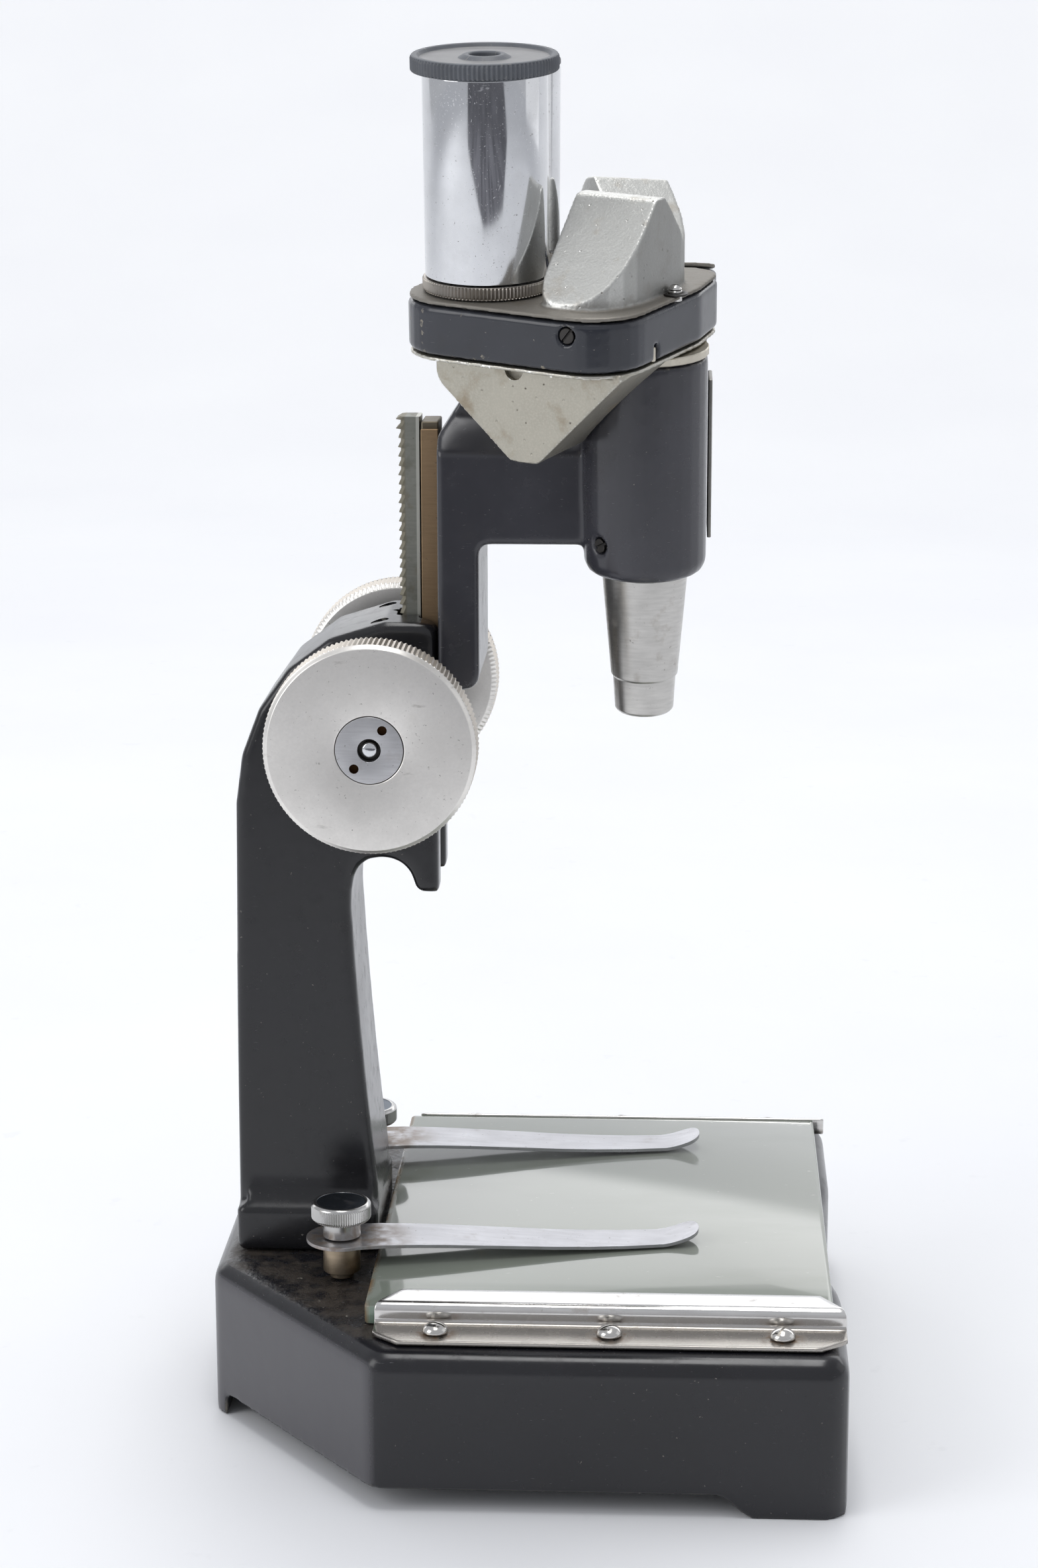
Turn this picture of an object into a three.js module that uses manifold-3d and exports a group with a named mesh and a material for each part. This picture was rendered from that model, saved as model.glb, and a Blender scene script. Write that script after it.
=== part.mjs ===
// Binocular dissecting microscope for young users: a cast stand with a glass stage, a rack and
// pinion focusing arm, and two prism heads whose optical axes lean together at the specimen.
// Millimetres, +Z up. The origin is the middle of the base's underside. The glass stage reaches
// towards +X and the focusing knobs stand on the +Y and -Y sides.
import * as THREE from 'three';
import { mergeVertices } from 'three/addons/utils/BufferGeometryUtils.js';
import Module from 'manifold-3d';

const wasm = await Module();
wasm.setup();

// ---------------------------------------------------------------- driving dimensions
const GAP = 0.3;              // clearance between pieces that touch
const ROUND = 30;             // sides of a large turned piece
const SMALL = 12;             // sides of a screw or a small hole

const base = {
  length: 129.6, width: 142, top: 32.6,
  cornerX: 37, cornerY: 47,   // cut on each rear corner
  edge: 3.8,                  // rounding of the upper edge
  frontDip: 8, frontDipHalf: 31,
  footHeight: 4.7, rearFoot: 3, frontFoot: 15, frontFootInner: 45,
  wall: 8, deck: 7,
};

const glass = { back: -30.3, front: 62.1, near: -56, far: 59.4, thickness: 3.8, corner: 1 };
glass.bottom = base.top + GAP;
glass.top = glass.bottom + glass.thickness;

const rail = {
  back: -28.2, front: 64.5, sheet: 0.9,
  lip: 7.8, edge: 66.5,       // width over the glass; the outer edge's distance from the middle
  lipCut: 5.2, flangeCut: 4.4,
  screwX: [-15.8, 18.2, 51.9],
  headRadius: 2.5, headHeight: 1.8, shankRadius: 1.1, shankLength: 5,
};

const post = { x: -37.3, y: 30.4, radius: 3.8, footRadius: 2.5, footHeight: 1.3, top: 40.4, bore: 1.7 };
const clip = {
  sheet: 0.7, eyeRadius: 7.2, rootHalf: 6.6, tipHalf: 4.2, length: 74, contactAt: 66,
  tipRise: 2.6, lift: 0.5,
};
const thumb = { stem: 1.3, collarRadius: 3.9, collar: 3.5, headRadius: 6.1, head: 3.9, reach: 5.5 };

const knob = { x: -29.5, z: 145.2, radius: 21, inner: 31.1, outer: 40, discRadius: 6.5, discRecess: 2 };
const shaft = { radius: 2.5, end: 37.6, tipRadius: 1.6, tipEnd: 39.3 };
const gear = { teeth: 11, module: 0.6, halfWidth: 4, addendum: 0.42, dedendum: 0.75, backlash: 0.28 };
gear.pitchRadius = gear.teeth * gear.module / 2;
gear.pitch = Math.PI * gear.module;

const pillar = {
  back: -59.5, faceX: -18.1,  // the vertical face that the arm slides along
  half: 14, footHalf: 17.7, footTop: 42.6, top: 165.6,
  hookBottom: 109.6, archTop: 116.8,
  sleeveRadius: 10, sleeveEnd: 30.4, bore: 5.8, bushRadius: 5.5,
};
const rack = { back: -21.9, half: 3.5, bottom: 137.3, top: 205.8 };
const slide = { back: -21.6, front: -18.1, half: 5, top: 203.6, bottom: 137.3, gibThickness: 1 };

const lean = THREE.MathUtils.degToRad(8.05);     // tilt of each optical axis
const head = { x: -6.9, y: 24.12, z: 221.65 };   // prism box underside, on the eyepiece axis
const objectiveAxis = { x: 30.4, inward: 4.6 };  // from the eyepiece axis, in the head's plane
const boxTurn = THREE.MathUtils.degToRad(27);    // turn of the prisms about the optical axis
const prismBox = { bottom: 1, top: 10.5, wall: 2.2, plateInset: 0.2 };
const upperPlate = { bottom: 10.8, top: 11.6 };
const lowerPlate = { bottom: -0.1, top: 0.7 };
// Roof over the upper prism, across the box: section in w, width in u.
const roof = {
  u0: 15.5, u1: 32.8, w0: -9.6, w1: 27.6, foot: 12.5, ridge: 30.3, flat: 3.6,
  small: 5.5, large: 14,      // plan corners towards the eyepiece and away from it
};
// Trough under the lower prism, along the box: section in u, width in w.
const trough = { u0: -6, u1: 34.4, half: 9.8, tip: -18.9, tip0: 10.4, tip1: 16.2 };
const opticBelow = 8.4;       // radius of the light passage over the objective
const barrel = { radius: 12.15, bore: 9, top: -2.3, bottom: -46 };
const cone = { top: -41, mouth: -75.5, topRadius: 8.6, tipRadius: 5.9, bore: 4.6 };
const ring = { radius: 12.45, inner: 11, height: 2.5 };
const tube = { radius: 11.9, inner: 11 };
const cap = { radius: 14.06, height: 3.1, top: 56.3, hole: 2.9, hub: 3.9, sleeveRadius: 10.7,
  sleeveInner: 9.2, sleeveLength: 24 };
const arm = { back: -17.8, front: -9.5, half: 16, bottom: 152.3, under: 181.8, shoulder: 200,
  top: 218, topHalf: 8.5 };
const webFront = 35.5;        // front of the web between the two barrels

// ---------------------------------------------------------------- solids and booleans
function solidOf(geometry) {
  const bare = geometry.index ? geometry.toNonIndexed() : geometry.clone();
  bare.deleteAttribute('normal');
  bare.deleteAttribute('uv');
  const merged = mergeVertices(bare, 1e-4);
  const mesh = new wasm.Mesh({
    numProp: 3,
    vertProperties: Float32Array.from(merged.attributes.position.array),
    triVerts: Uint32Array.from(merged.index.array),
  });
  return new wasm.Manifold(mesh);
}

function geometryOf(solid) {
  const mesh = solid.getMesh();
  const geometry = new THREE.BufferGeometry();
  geometry.setAttribute('position', new THREE.BufferAttribute(mesh.vertProperties, 3));
  geometry.setIndex(new THREE.BufferAttribute(mesh.triVerts, 1));
  return geometry;
}

const cut = (body, ...tools) =>
  geometryOf(tools.reduce((left, tool) => left.subtract(solidOf(tool)), solidOf(body)));
const join = (...parts) => geometryOf(parts.map(solidOf).reduce((sum, part) => sum.add(part)));
const common = (a, b) => geometryOf(solidOf(a).intersect(solidOf(b)));

// ---------------------------------------------------------------- shape helpers
// Closed outline whose corners are rounded by arcs; each point is [x, y] or [x, y, radius].
function outline(points, radius = 0) {
  const shape = new THREE.Shape();
  const count = points.length;
  const corners = points.map(([x, y]) => new THREE.Vector2(x, y));
  points.forEach((point, i) => {
    const here = corners[i];
    const before = corners[(i + count - 1) % count].clone().sub(here);
    const after = corners[(i + 1) % count].clone().sub(here);
    const room = Math.min(before.length(), after.length()) * 0.49;
    before.normalize();
    after.normalize();
    const half = Math.acos(THREE.MathUtils.clamp(before.dot(after), -1, 1)) / 2;
    const tangent = Math.min((point[2] ?? radius) / Math.tan(half), room);
    const start = before.clone().multiplyScalar(tangent).add(here);
    if (i === 0) shape.moveTo(start.x, start.y);
    else shape.lineTo(start.x, start.y);
    if (tangent < 1e-3) return;
    const size = tangent * Math.tan(half);
    const inwards = before.clone().add(after).normalize();
    const centre = inwards.multiplyScalar(size / Math.sin(half)).add(here);
    const from = start.sub(centre).angle();
    const to = after.clone().multiplyScalar(tangent).add(here).sub(centre).angle();
    shape.absarc(centre.x, centre.y, size, from, to, before.cross(after) > 0);
  });
  shape.closePath();
  return shape;
}

// Shape in the XY plane raised from z0 to z1, with an optional rounded edge top and bottom.
function raised(shape, z0, z1, edge = 0, steps = 2, curve = 2) {
  const geometry = new THREE.ExtrudeGeometry(shape, {
    depth: z1 - z0 - 2 * edge, curveSegments: curve,
    bevelEnabled: edge > 0, bevelThickness: edge, bevelSize: edge, bevelOffset: -edge,
    bevelSegments: steps,
  });
  return geometry.translate(0, 0, z0 + edge);
}

// Side view outline in X (across) and Z (up), spread from y0 to y1.
function sideways(shape, y0, y1, edge = 0, steps = 2, curve = 2) {
  return raised(shape, -y1, -y0, edge, steps, curve).rotateX(Math.PI / 2);
}

// Cross-section in Y (across) and Z (up), spread from x0 to x1.
function lengthways(shape, x0, x1, edge = 0) {
  const geometry = raised(shape, x0, x1, edge);
  return geometry.applyMatrix4(new THREE.Matrix4().set(0, 0, 1, 0, 1, 0, 0, 0, 0, 1, 0, 0, 0, 0, 0, 1));
}

// Turned about Z; profile points are [radius, height].
function turned(profile, sides = ROUND) {
  const points = profile.map(([radius, height]) => new THREE.Vector2(radius, height));
  return new THREE.LatheGeometry(points, sides).rotateX(Math.PI / 2);
}

const rod = (radius, z0, z1, sides = ROUND) =>
  turned([[0, z0], [radius, z0], [radius, z1], [0, z1]], sides);

// Hollow round bar; the profile closes on itself.
function hollow(outer, inner, z0, z1, chamfer = 0, sides = ROUND) {
  const c = chamfer;
  const profile = [[inner, z0], [outer - c, z0]];
  if (c) profile.push([outer, z0 + c], [outer, z1 - c]);
  profile.push([outer - c, z1]);
  if (!c) profile[1] = [outer, z0];
  profile.push([inner, z1], [inner, z0]);
  return turned(profile, sides);
}

function box(x0, x1, y0, y1, z0, z1) {
  return new THREE.BoxGeometry(x1 - x0, y1 - y0, z1 - z0)
    .translate((x0 + x1) / 2, (y0 + y1) / 2, (z0 + z1) / 2);
}

// Each edge of a counterclockwise outline moved inwards.
function shrink(points, inset) {
  const count = points.length;
  return points.map(([x, y, radius], i) => {
    const here = new THREE.Vector2(x, y);
    const before = new THREE.Vector2(...points[(i + count - 1) % count]);
    const after = new THREE.Vector2(...points[(i + 1) % count]);
    const [n0, n1] = [here.clone().sub(before), after.sub(here)].map((edge) =>
      new THREE.Vector2(-edge.y, edge.x).normalize());
    const shift = n0.clone().add(n1).multiplyScalar(inset / (1 + n0.dot(n1)));
    return [x + shift.x, y + shift.y, Math.max(radius - inset, 2)];
  });
}

// Reflection in Y = 0 that keeps the faces pointing out.
function mirrored(geometry) {
  const flipped = geometry.clone().scale(1, -1, 1);
  if (!flipped.index) flipped.setIndex([...Array(flipped.attributes.position.count).keys()]);
  const index = flipped.index.array;
  for (let i = 0; i < index.length; i += 3) [index[i], index[i + 1]] = [index[i + 1], index[i]];
  return flipped;
}

const alongY = (geometry) => geometry.rotateX(-Math.PI / 2);    // Z axis laid along +Y

// ---------------------------------------------------------------- materials
const finishes = {
  enamel: { color: 0x1b1c20, roughness: 0.32, metalness: 0.1 },
  aluminium: { color: 0xb9b7b2, roughness: 0.38, metalness: 0.9 },
  castSilver: { color: 0xa9a9a2, roughness: 0.55, metalness: 0.7 },
  chrome: { color: 0xd4d6da, roughness: 0.08, metalness: 1 },
  nickel: { color: 0xbdb9b0, roughness: 0.25, metalness: 1 },
  steel: { color: 0x77776f, roughness: 0.45, metalness: 0.9 },
  brass: { color: 0x7a5a3c, roughness: 0.5, metalness: 0.8 },
  stageGlass: { color: 0xa9b3a6, roughness: 0.3, metalness: 0 },
  optic: { color: 0xdfe8ea, roughness: 0.05, metalness: 0 },
  plastic: { color: 0x35363a, roughness: 0.6, metalness: 0 },
};
const microscope = new THREE.Group();

function add(name, geometry, finish, parent = microscope) {
  const mesh = new THREE.Mesh(geometry, new THREE.MeshStandardMaterial(finishes[finish]));
  mesh.name = name;
  parent.add(mesh);
  return mesh;
}

// The two sides: suffix, sign of Y, and sign that points to the middle.
const sides = [{ tag: 'a', sign: -1, inward: 1 }, { tag: 'b', sign: 1, inward: -1 }];

// ---------------------------------------------------------------- base casting
function basePlan(inset) {
  const { length, width, cornerX, cornerY, frontDip, frontDipHalf } = base;
  const [x, y] = [length / 2, width / 2];
  const near = [[-x, cornerY - y, 6], [cornerX - x, -y, 5], [x, -y, 5], [x, -frontDipHalf, 40]];
  const far = near.map(([px, py, radius]) => [px, -py, radius]).reverse();
  return outline(shrink([...near, [x - frontDip, 0, 60], ...far], inset));
}

function baseCasting() {
  const block = raised(basePlan(0), -2 * base.edge, base.top, base.edge, 3);
  const room = box(-base.length, base.length, -base.width, base.width, 0, base.top + 1);
  const rear = -base.length / 2 + base.rearFoot;
  const toe = base.length / 2 - base.frontFoot;
  const under = new THREE.Shape();
  under.moveTo(rear, -1);
  under.lineTo(rear, base.footHeight - 1);
  under.quadraticCurveTo(rear, base.footHeight, rear + 1, base.footHeight);
  under.lineTo(toe - 11, base.footHeight);
  under.bezierCurveTo(toe - 7, base.footHeight, toe - 7, -0.5, toe, -1);
  const sideArch = sideways(under, -base.width, base.width, 0, 1, 5);
  const frontArch = box(toe - 14, base.length, -base.frontFootInner, base.frontFootInner,
    -1, base.footHeight);
  const pocket = raised(basePlan(base.wall), -1, base.top - base.deck, 0.8, 1);
  const screwHoles = railScrewPlaces.map(([x, y]) =>
    rod(rail.shankRadius + 0.4, rail.screwEnd - 1, base.top + 1, 12).translate(x, y, 0));
  return cut(common(block, room), sideArch, frontArch, pocket, ...screwHoles);
}

// ---------------------------------------------------------------- glass stage and its rails
const railWall = { a: glass.near - 0.4, b: glass.far + 0.4 };     // inner faces of the rail walls
const railScrewPlaces = sides.flatMap(({ tag, sign }) => {
  const flangeMiddle = (railWall[tag] + sign * (rail.sheet + rail.edge)) / 2;
  return rail.screwX.map((x) => [x, flangeMiddle]);
});
rail.screwEnd = base.top - rail.shankLength;

function stageGlass() {
  const plan = outline([[glass.back, glass.near], [glass.front, glass.near],
    [glass.front, glass.far], [glass.back, glass.far]], glass.corner);
  return raised(plan, glass.bottom, glass.top, 0.3, 1, 2);
}

// Folded sheet: a flange on the base, a wall beside the glass and, on side a, a lip over it.
function stageRail({ tag, sign }) {
  const { sheet, lip, edge, back, front, lipCut, flangeCut } = rail;
  const foot = base.top + GAP;
  const inner = Math.abs(railWall[tag]);
  const outer = inner + sheet;
  const lipTop = glass.top + GAP + sheet;
  const wallTop = tag === 'a' ? lipTop : glass.top + 0.3;
  const overGlass = [[outer - lip, wallTop], [outer - lip, wallTop - sheet], [inner, wallTop - sheet]];
  const section = [[inner, foot], [edge, foot], [edge, foot + sheet], [outer, foot + sheet],
    [outer, wallTop], ...(tag === 'a' ? overGlass : [[inner, wallTop]])];
  const bar = lengthways(outline(section), back, front);
  const plan = outline([[back, outer], [back + lipCut, outer - lip], [front - lipCut, outer - lip],
    [front, outer], [front, edge - flangeCut], [front - lipCut, edge], [back + lipCut, edge],
    [back, edge - flangeCut]]);
  const shaped = common(bar, raised(plan, base.top - 1, lipTop + 1));
  const holes = railScrewPlaces.filter(([, y]) => y * sign > 0).map(([x, y]) =>
    rod(rail.shankRadius + 0.4, base.top, base.top + 3, 12).translate(x, Math.abs(y), 0));
  const drilled = cut(shaped, ...holes);
  return sign < 0 ? mirrored(drilled) : drilled;
}

function railScrew() {
  const seat = base.top + 2 * GAP + rail.sheet;
  const dome = Array.from({ length: 4 }, (_, i) => {
    const angle = (i / 3) * Math.PI / 2;
    return [rail.headRadius * Math.cos(angle), seat + 0.3 + (rail.headHeight - 0.3) * Math.sin(angle)];
  });
  dome[3][0] = 0;
  return turned([[0, rail.screwEnd], [rail.shankRadius, rail.screwEnd], [rail.shankRadius, seat],
    [rail.headRadius, seat], ...dome], SMALL);
}

// ---------------------------------------------------------------- stage clips
function clipPost() {
  const foot = base.top + GAP;
  return turned([[0, foot], [post.footRadius, foot], [post.footRadius, foot + post.footHeight],
    [post.radius, foot + post.footHeight], [post.radius, post.top], [post.bore, post.top],
    [post.bore, post.top - thumb.reach - 0.7], [0, post.top - thumb.reach - 0.7]], 24);
}

// Spring strip: a round eye on the post, a gentle slope to the glass and an upturned tip.
function springClip() {
  const eye = post.top + GAP;
  const rest = glass.top + clip.lift;
  const tip = rest + clip.tipRise;
  const side = new THREE.Shape();
  side.moveTo(-clip.eyeRadius - 1, eye);
  side.lineTo(clip.eyeRadius + 1, eye);
  side.bezierCurveTo(clip.length * 0.35, eye - 0.6, clip.length * 0.6, rest, clip.contactAt, rest);
  side.quadraticCurveTo(clip.length - 4, rest + 0.3, clip.length + 1, tip);
  side.lineTo(clip.length + 0.7, tip + clip.sheet);
  side.quadraticCurveTo(clip.length - 4.3, rest + 0.3 + clip.sheet, clip.contactAt, rest + clip.sheet);
  side.bezierCurveTo(clip.length * 0.6, rest + clip.sheet, clip.length * 0.35, eye - 0.6 + clip.sheet,
    clip.eyeRadius + 1, eye + clip.sheet);
  side.lineTo(-clip.eyeRadius - 1, eye + clip.sheet);
  const strip = sideways(side, -2 * clip.eyeRadius, 2 * clip.eyeRadius, 0, 2, 8);
  const plan = new THREE.Shape();
  const eyeSpread = Math.acos(clip.rootHalf / clip.eyeRadius);
  plan.absarc(0, 0, clip.eyeRadius, Math.PI / 2 - eyeSpread, Math.PI * 1.5 + eyeSpread, false);
  plan.lineTo(clip.length - 3, -clip.tipHalf);
  plan.quadraticCurveTo(clip.length, -clip.tipHalf + 0.4, clip.length, 0);
  plan.quadraticCurveTo(clip.length, clip.tipHalf - 0.4, clip.length - 3, clip.tipHalf);
  plan.closePath();
  const footprint = raised(plan, rest - 1, eye + 4, 0, 2, 12);
  return cut(common(strip, footprint), rod(post.bore, eye - 1, eye + 2, 24));
}

function thumbScrew() {
  const collar = post.top + 2 * GAP + clip.sheet;
  const headBottom = collar + thumb.collar;
  const topZ = headBottom + thumb.head;
  return turned([[0, post.top - thumb.reach], [thumb.stem, post.top - thumb.reach],
    [thumb.stem, collar], [thumb.collarRadius, collar], [thumb.collarRadius, headBottom],
    [thumb.headRadius - 0.4, headBottom], [thumb.headRadius, headBottom + 0.4],
    [thumb.headRadius, topZ - 0.5], [thumb.headRadius - 0.5, topZ], [0, topZ]], 24);
}

// ---------------------------------------------------------------- pillar
function pillarSide() {
  const foot = base.top + GAP;
  const { back, faceX, top, hookBottom, archTop } = pillar;
  const shape = new THREE.Shape();
  shape.moveTo(back - 1, foot);
  shape.lineTo(back - 1, pillar.footTop);
  shape.quadraticCurveTo(back - 0.9, pillar.footTop + 30, back - 0.6, 90);
  shape.lineTo(back, 128);
  shape.bezierCurveTo(back + 0.5, 144.5, -49.5, top - 2.8, -29, top);
  shape.lineTo(faceX - 4, top);
  shape.quadraticCurveTo(faceX, top, faceX, top - 3);
  shape.lineTo(faceX, hookBottom);
  shape.lineTo(faceX - 3, hookBottom);
  shape.quadraticCurveTo(faceX - 4.8, hookBottom, faceX - 5.2, hookBottom + 2.4);
  shape.bezierCurveTo(faceX - 6, archTop - 1.6, faceX - 8.5, archTop, faceX - 11.8, archTop);
  shape.bezierCurveTo(-35.2, archTop, -36.2, archTop - 4, -36.2, 106);
  shape.quadraticCurveTo(-34.6, 74, -31.4, 47);
  shape.lineTo(-31, foot);
  return shape;
}

// The foot spreads sideways from the column in a hollow curve down to a square block.
function pillarFlare() {
  const section = new THREE.Shape();
  const rim = pillar.footHalf - 1;
  const rise = 9;
  section.moveTo(-rim, pillar.footTop - 2);
  section.lineTo(rim, pillar.footTop - 2);
  section.lineTo(rim, pillar.footTop);
  section.quadraticCurveTo(pillar.half, pillar.footTop + 0.6, pillar.half - 0.5, pillar.footTop + rise);
  section.lineTo(0.5 - pillar.half, pillar.footTop + rise);
  section.quadraticCurveTo(-pillar.half, pillar.footTop + 0.6, -rim, pillar.footTop);
  return lengthways(section, pillar.back + 1, -32.4);
}

function pillarCasting() {
  const column = sideways(pillarSide(), -pillar.half, pillar.half, 1.4, 2, 5);
  const footPlan = outline([[pillar.back - 1.1, -pillar.footHalf], [-31, -pillar.footHalf],
    [-31, pillar.footHalf], [pillar.back - 1.1, pillar.footHalf]], 1.5);
  const foot = raised(footPlan, base.top + GAP, pillar.footTop, 0.8, 1, 3);
  const sleeves = alongY(rod(pillar.sleeveRadius, -pillar.sleeveEnd, pillar.sleeveEnd, 36))
    .translate(knob.x, 0, knob.z);
  const bore = alongY(rod(pillar.bore, -40, 40, 28)).translate(knob.x, 0, knob.z);
  const wayHalf = slide.half + 1.7;
  const slideWay = box(slide.back - GAP, pillar.faceX + 5, -wayHalf, wayHalf, 100, 175);
  const rackWay = box(knob.x + 2.5, slide.back, -rack.half - 0.5, rack.half + 0.5, 100, 175);
  return cut(join(column, foot, pillarFlare(), sleeves), bore, slideWay, rackWay);
}

// ---------------------------------------------------------------- rack, pinion and knobs
// One straight-sided tooth, as [along the pitch line, height over the pitch line].
const tooth = (() => {
  const quarter = gear.pitch / 4 - gear.backlash / 2;
  const slope = Math.tan(THREE.MathUtils.degToRad(24));
  const root = quarter + gear.dedendum * slope;
  const crest = quarter - gear.addendum * slope;
  return [[-root, -gear.dedendum], [-crest, gear.addendum],
    [crest, gear.addendum], [root, -gear.dedendum]];
})();

function pinionShaft() {
  const rim = new THREE.Shape();
  for (let i = 0; i < gear.teeth; i += 1) {
    tooth.forEach(([along, height], corner) => {
      const radius = gear.pitchRadius + height;
      const angle = (i + along / gear.pitch) * 2 * Math.PI / gear.teeth;
      const [x, y] = [radius * Math.cos(angle), radius * Math.sin(angle)];
      if (i + corner === 0) rim.moveTo(x, y);
      else rim.lineTo(x, y);
    });
  }
  rim.closePath();
  const pinion = raised(rim, -gear.halfWidth, gear.halfWidth);
  const spindle = turned([[0, -shaft.tipEnd], [shaft.tipRadius, -shaft.tipEnd],
    [shaft.tipRadius, -shaft.end], [shaft.radius, -shaft.end], [shaft.radius, shaft.end],
    [shaft.tipRadius, shaft.end], [shaft.tipRadius, shaft.tipEnd], [0, shaft.tipEnd]], 24);
  return alongY(join(pinion, spindle)).translate(knob.x, 0, knob.z);
}

// Teeth face the pinion; a tooth gap stands level with the pinion's axis at rest.
function rackBar() {
  const line = knob.x + gear.pitchRadius;
  const shape = new THREE.Shape();
  shape.moveTo(rack.back, rack.bottom);
  const first = Math.ceil((rack.bottom - knob.z) / gear.pitch + 0.5);
  const last = Math.floor((rack.top - knob.z) / gear.pitch - 0.5);
  shape.lineTo(line + gear.dedendum, rack.bottom);
  for (let i = first; i < last; i += 1) {
    const middle = knob.z + (i + 0.5) * gear.pitch;
    tooth.forEach(([along, height]) => shape.lineTo(line - height, middle + along));
  }
  shape.lineTo(line + gear.dedendum, rack.top);
  shape.lineTo(rack.back, rack.top);
  shape.closePath();
  return sideways(shape, -rack.half, rack.half);
}

const slideBar = () =>
  box(slide.back, slide.front, -slide.half, slide.half, slide.bottom, slide.top + 1.4);
const gibStrip = () => box(slide.back, slide.front, -slide.half - GAP - slide.gibThickness,
  -slide.half - GAP, slide.bottom, slide.top);

// Axis on Z from the inner face at 0 to the outer face; a recess in the outer face takes the disc.
function knobWheel() {
  const width = knob.outer - knob.inner;
  return turned([[shaft.radius + 0.3, 0], [knob.radius - 0.8, 0], [knob.radius, 0.8],
    [knob.radius, width - 0.7], [knob.radius - 0.7, width], [knob.discRadius + 0.3, width],
    [knob.discRadius + 0.3, width - knob.discRecess], [shaft.radius + 0.3, width - knob.discRecess],
    [shaft.radius + 0.3, 0]], 48);
}

function knobDisc() {
  const width = knob.outer - knob.inner;
  const plate = hollow(knob.discRadius, 2.1, width - knob.discRecess + GAP, width, 0, 32);
  const holes = [57, 231].map((degrees) => {
    const angle = THREE.MathUtils.degToRad(degrees);
    const [x, y] = [4.75 * Math.cos(angle), 4.75 * Math.sin(angle)];
    return rod(1, width - 1.2, width + 1, 12).translate(x, y, 0);
  });
  return cut(plate, ...holes);
}

// ---------------------------------------------------------------- optical frames
// Axes of one head: Z along the eyepiece axis, X as the stand's X, origin under the prism box.
function headFrame(side) {
  const frame = new THREE.Group();
  frame.position.set(head.x, side.sign * head.y, head.z);
  frame.rotation.x = -side.sign * lean;
  return frame;
}

// A geometry made in the head's axes, moved to the stand's axes.
function placed(geometry, side) {
  const frame = headFrame(side);
  frame.updateMatrix();
  return geometry.applyMatrix4(frame.matrix);
}

const onObjective = (geometry, side) =>
  geometry.translate(objectiveAxis.x, side.inward * objectiveAxis.inward, 0);

// ---------------------------------------------------------------- arm
function armSide() {
  const { back, front, bottom, under, top } = arm;
  return outline([[back, bottom, 1.5], [front, bottom, 3], [front, under, 2], [26, under, 0],
    [26, top, 3], [-8, top, 3], [back, top - 15, 2]]);
}

function armCasting() {
  const wide = sideways(armSide(), -arm.half, arm.half, 0.9, 2, 2);
  const narrow = sideways(armSide(), -arm.topHalf, arm.topHalf, 0, 1, 2);
  const { half, topHalf, shoulder } = arm;
  const taper = outline([[-half, 100], [half, 100], [half, shoulder], [topHalf, shoulder + 7],
    [-topHalf, shoulder + 7], [-half, shoulder]]);
  const shoulders = common(wide, lengthways(taper, -40, 60));
  const web = box(18, webFront, -11, 11, 179, 215);
  const barrels = sides.map((side) => {
    const { radius, bottom, top } = barrel;
    const body = turned([[0, bottom], [radius - 2.5, bottom], [radius - 0.75, bottom + 0.75],
      [radius, bottom + 2.5], [radius, top], [0, top]]);
    return placed(onObjective(body, side), side);
  });
  const bores = sides.map((side) =>
    placed(onObjective(rod(barrel.bore, barrel.bottom - 5, barrel.top + 5), side), side));
  const screwBores = sides.map((side) => placed(onObjective(barrelScrewAt(side, 1.8, 4), side), side));
  return cut(join(shoulders, narrow, web, ...barrels), ...bores, ...screwBores);
}

// Set screw that holds an objective, pointing to the barrel's axis.
function barrelScrewAt(side, radius, reach) {
  const screw = rod(radius, barrel.radius - 1.9, barrel.radius - 1.9 + reach, SMALL);
  screw.rotateX(side.inward * Math.PI / 2).rotateZ(-side.inward * THREE.MathUtils.degToRad(48));
  return screw.translate(0, 0, -38.8);
}

function objectiveCone() {
  const { top, mouth, topRadius, tipRadius, bore } = cone;
  return turned([[bore, mouth], [tipRadius - 0.5, mouth], [tipRadius, mouth + 0.5],
    [topRadius, barrel.bottom + 0.5], [topRadius, top], [bore + 2, top], [bore, mouth + 8],
    [bore, mouth]]);
}

function objectiveLens() {
  const z = cone.mouth + 1;
  const radius = cone.bore - GAP;
  return turned([[0, z], [radius * 0.6, z + 0.15], [radius, z + 0.5], [radius, z + 2.5],
    [0, z + 2.5]], 32);
}

// ---------------------------------------------------------------- prism heads
// Below, u runs along the lower prism and w, towards the middle of the stand, along the upper one.
// Plan of the prism box: round about the eyepiece, square over the prisms.
const boxCorners = [[-14.2, -14.2, 14], [35.8, -14.2, 11], [35.8, 20, 14], [32.4, 37.4, 7],
  [19, 33, 7], [10, 17, 10], [-4, 14.2, 8], [-14.2, 9, 11]];

// Geometry made for side a, in u and w, brought to the head's axes of either side.
function inHead(geometry, side) {
  const own = side.inward < 0 ? mirrored(geometry) : geometry;
  return own.rotateZ(-side.inward * boxTurn);
}

const boxSlab = (inset, z0, z1, edge = 0) =>
  raised(outline(shrink(boxCorners, inset)), z0, z1, edge, 1, 4);

// Cylinder about the objective axis, in u and w.
const aboutObjective = (radius, z0, z1) =>
  rod(radius, z0, z1).translate(objectiveAxis.x, objectiveAxis.inward, 0).rotateZ(boxTurn);

const sideScrewAt = (radius, reach) =>
  rod(radius, 0, reach, SMALL).rotateX(Math.PI / 2).translate(25, -12.6, 8);

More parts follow.
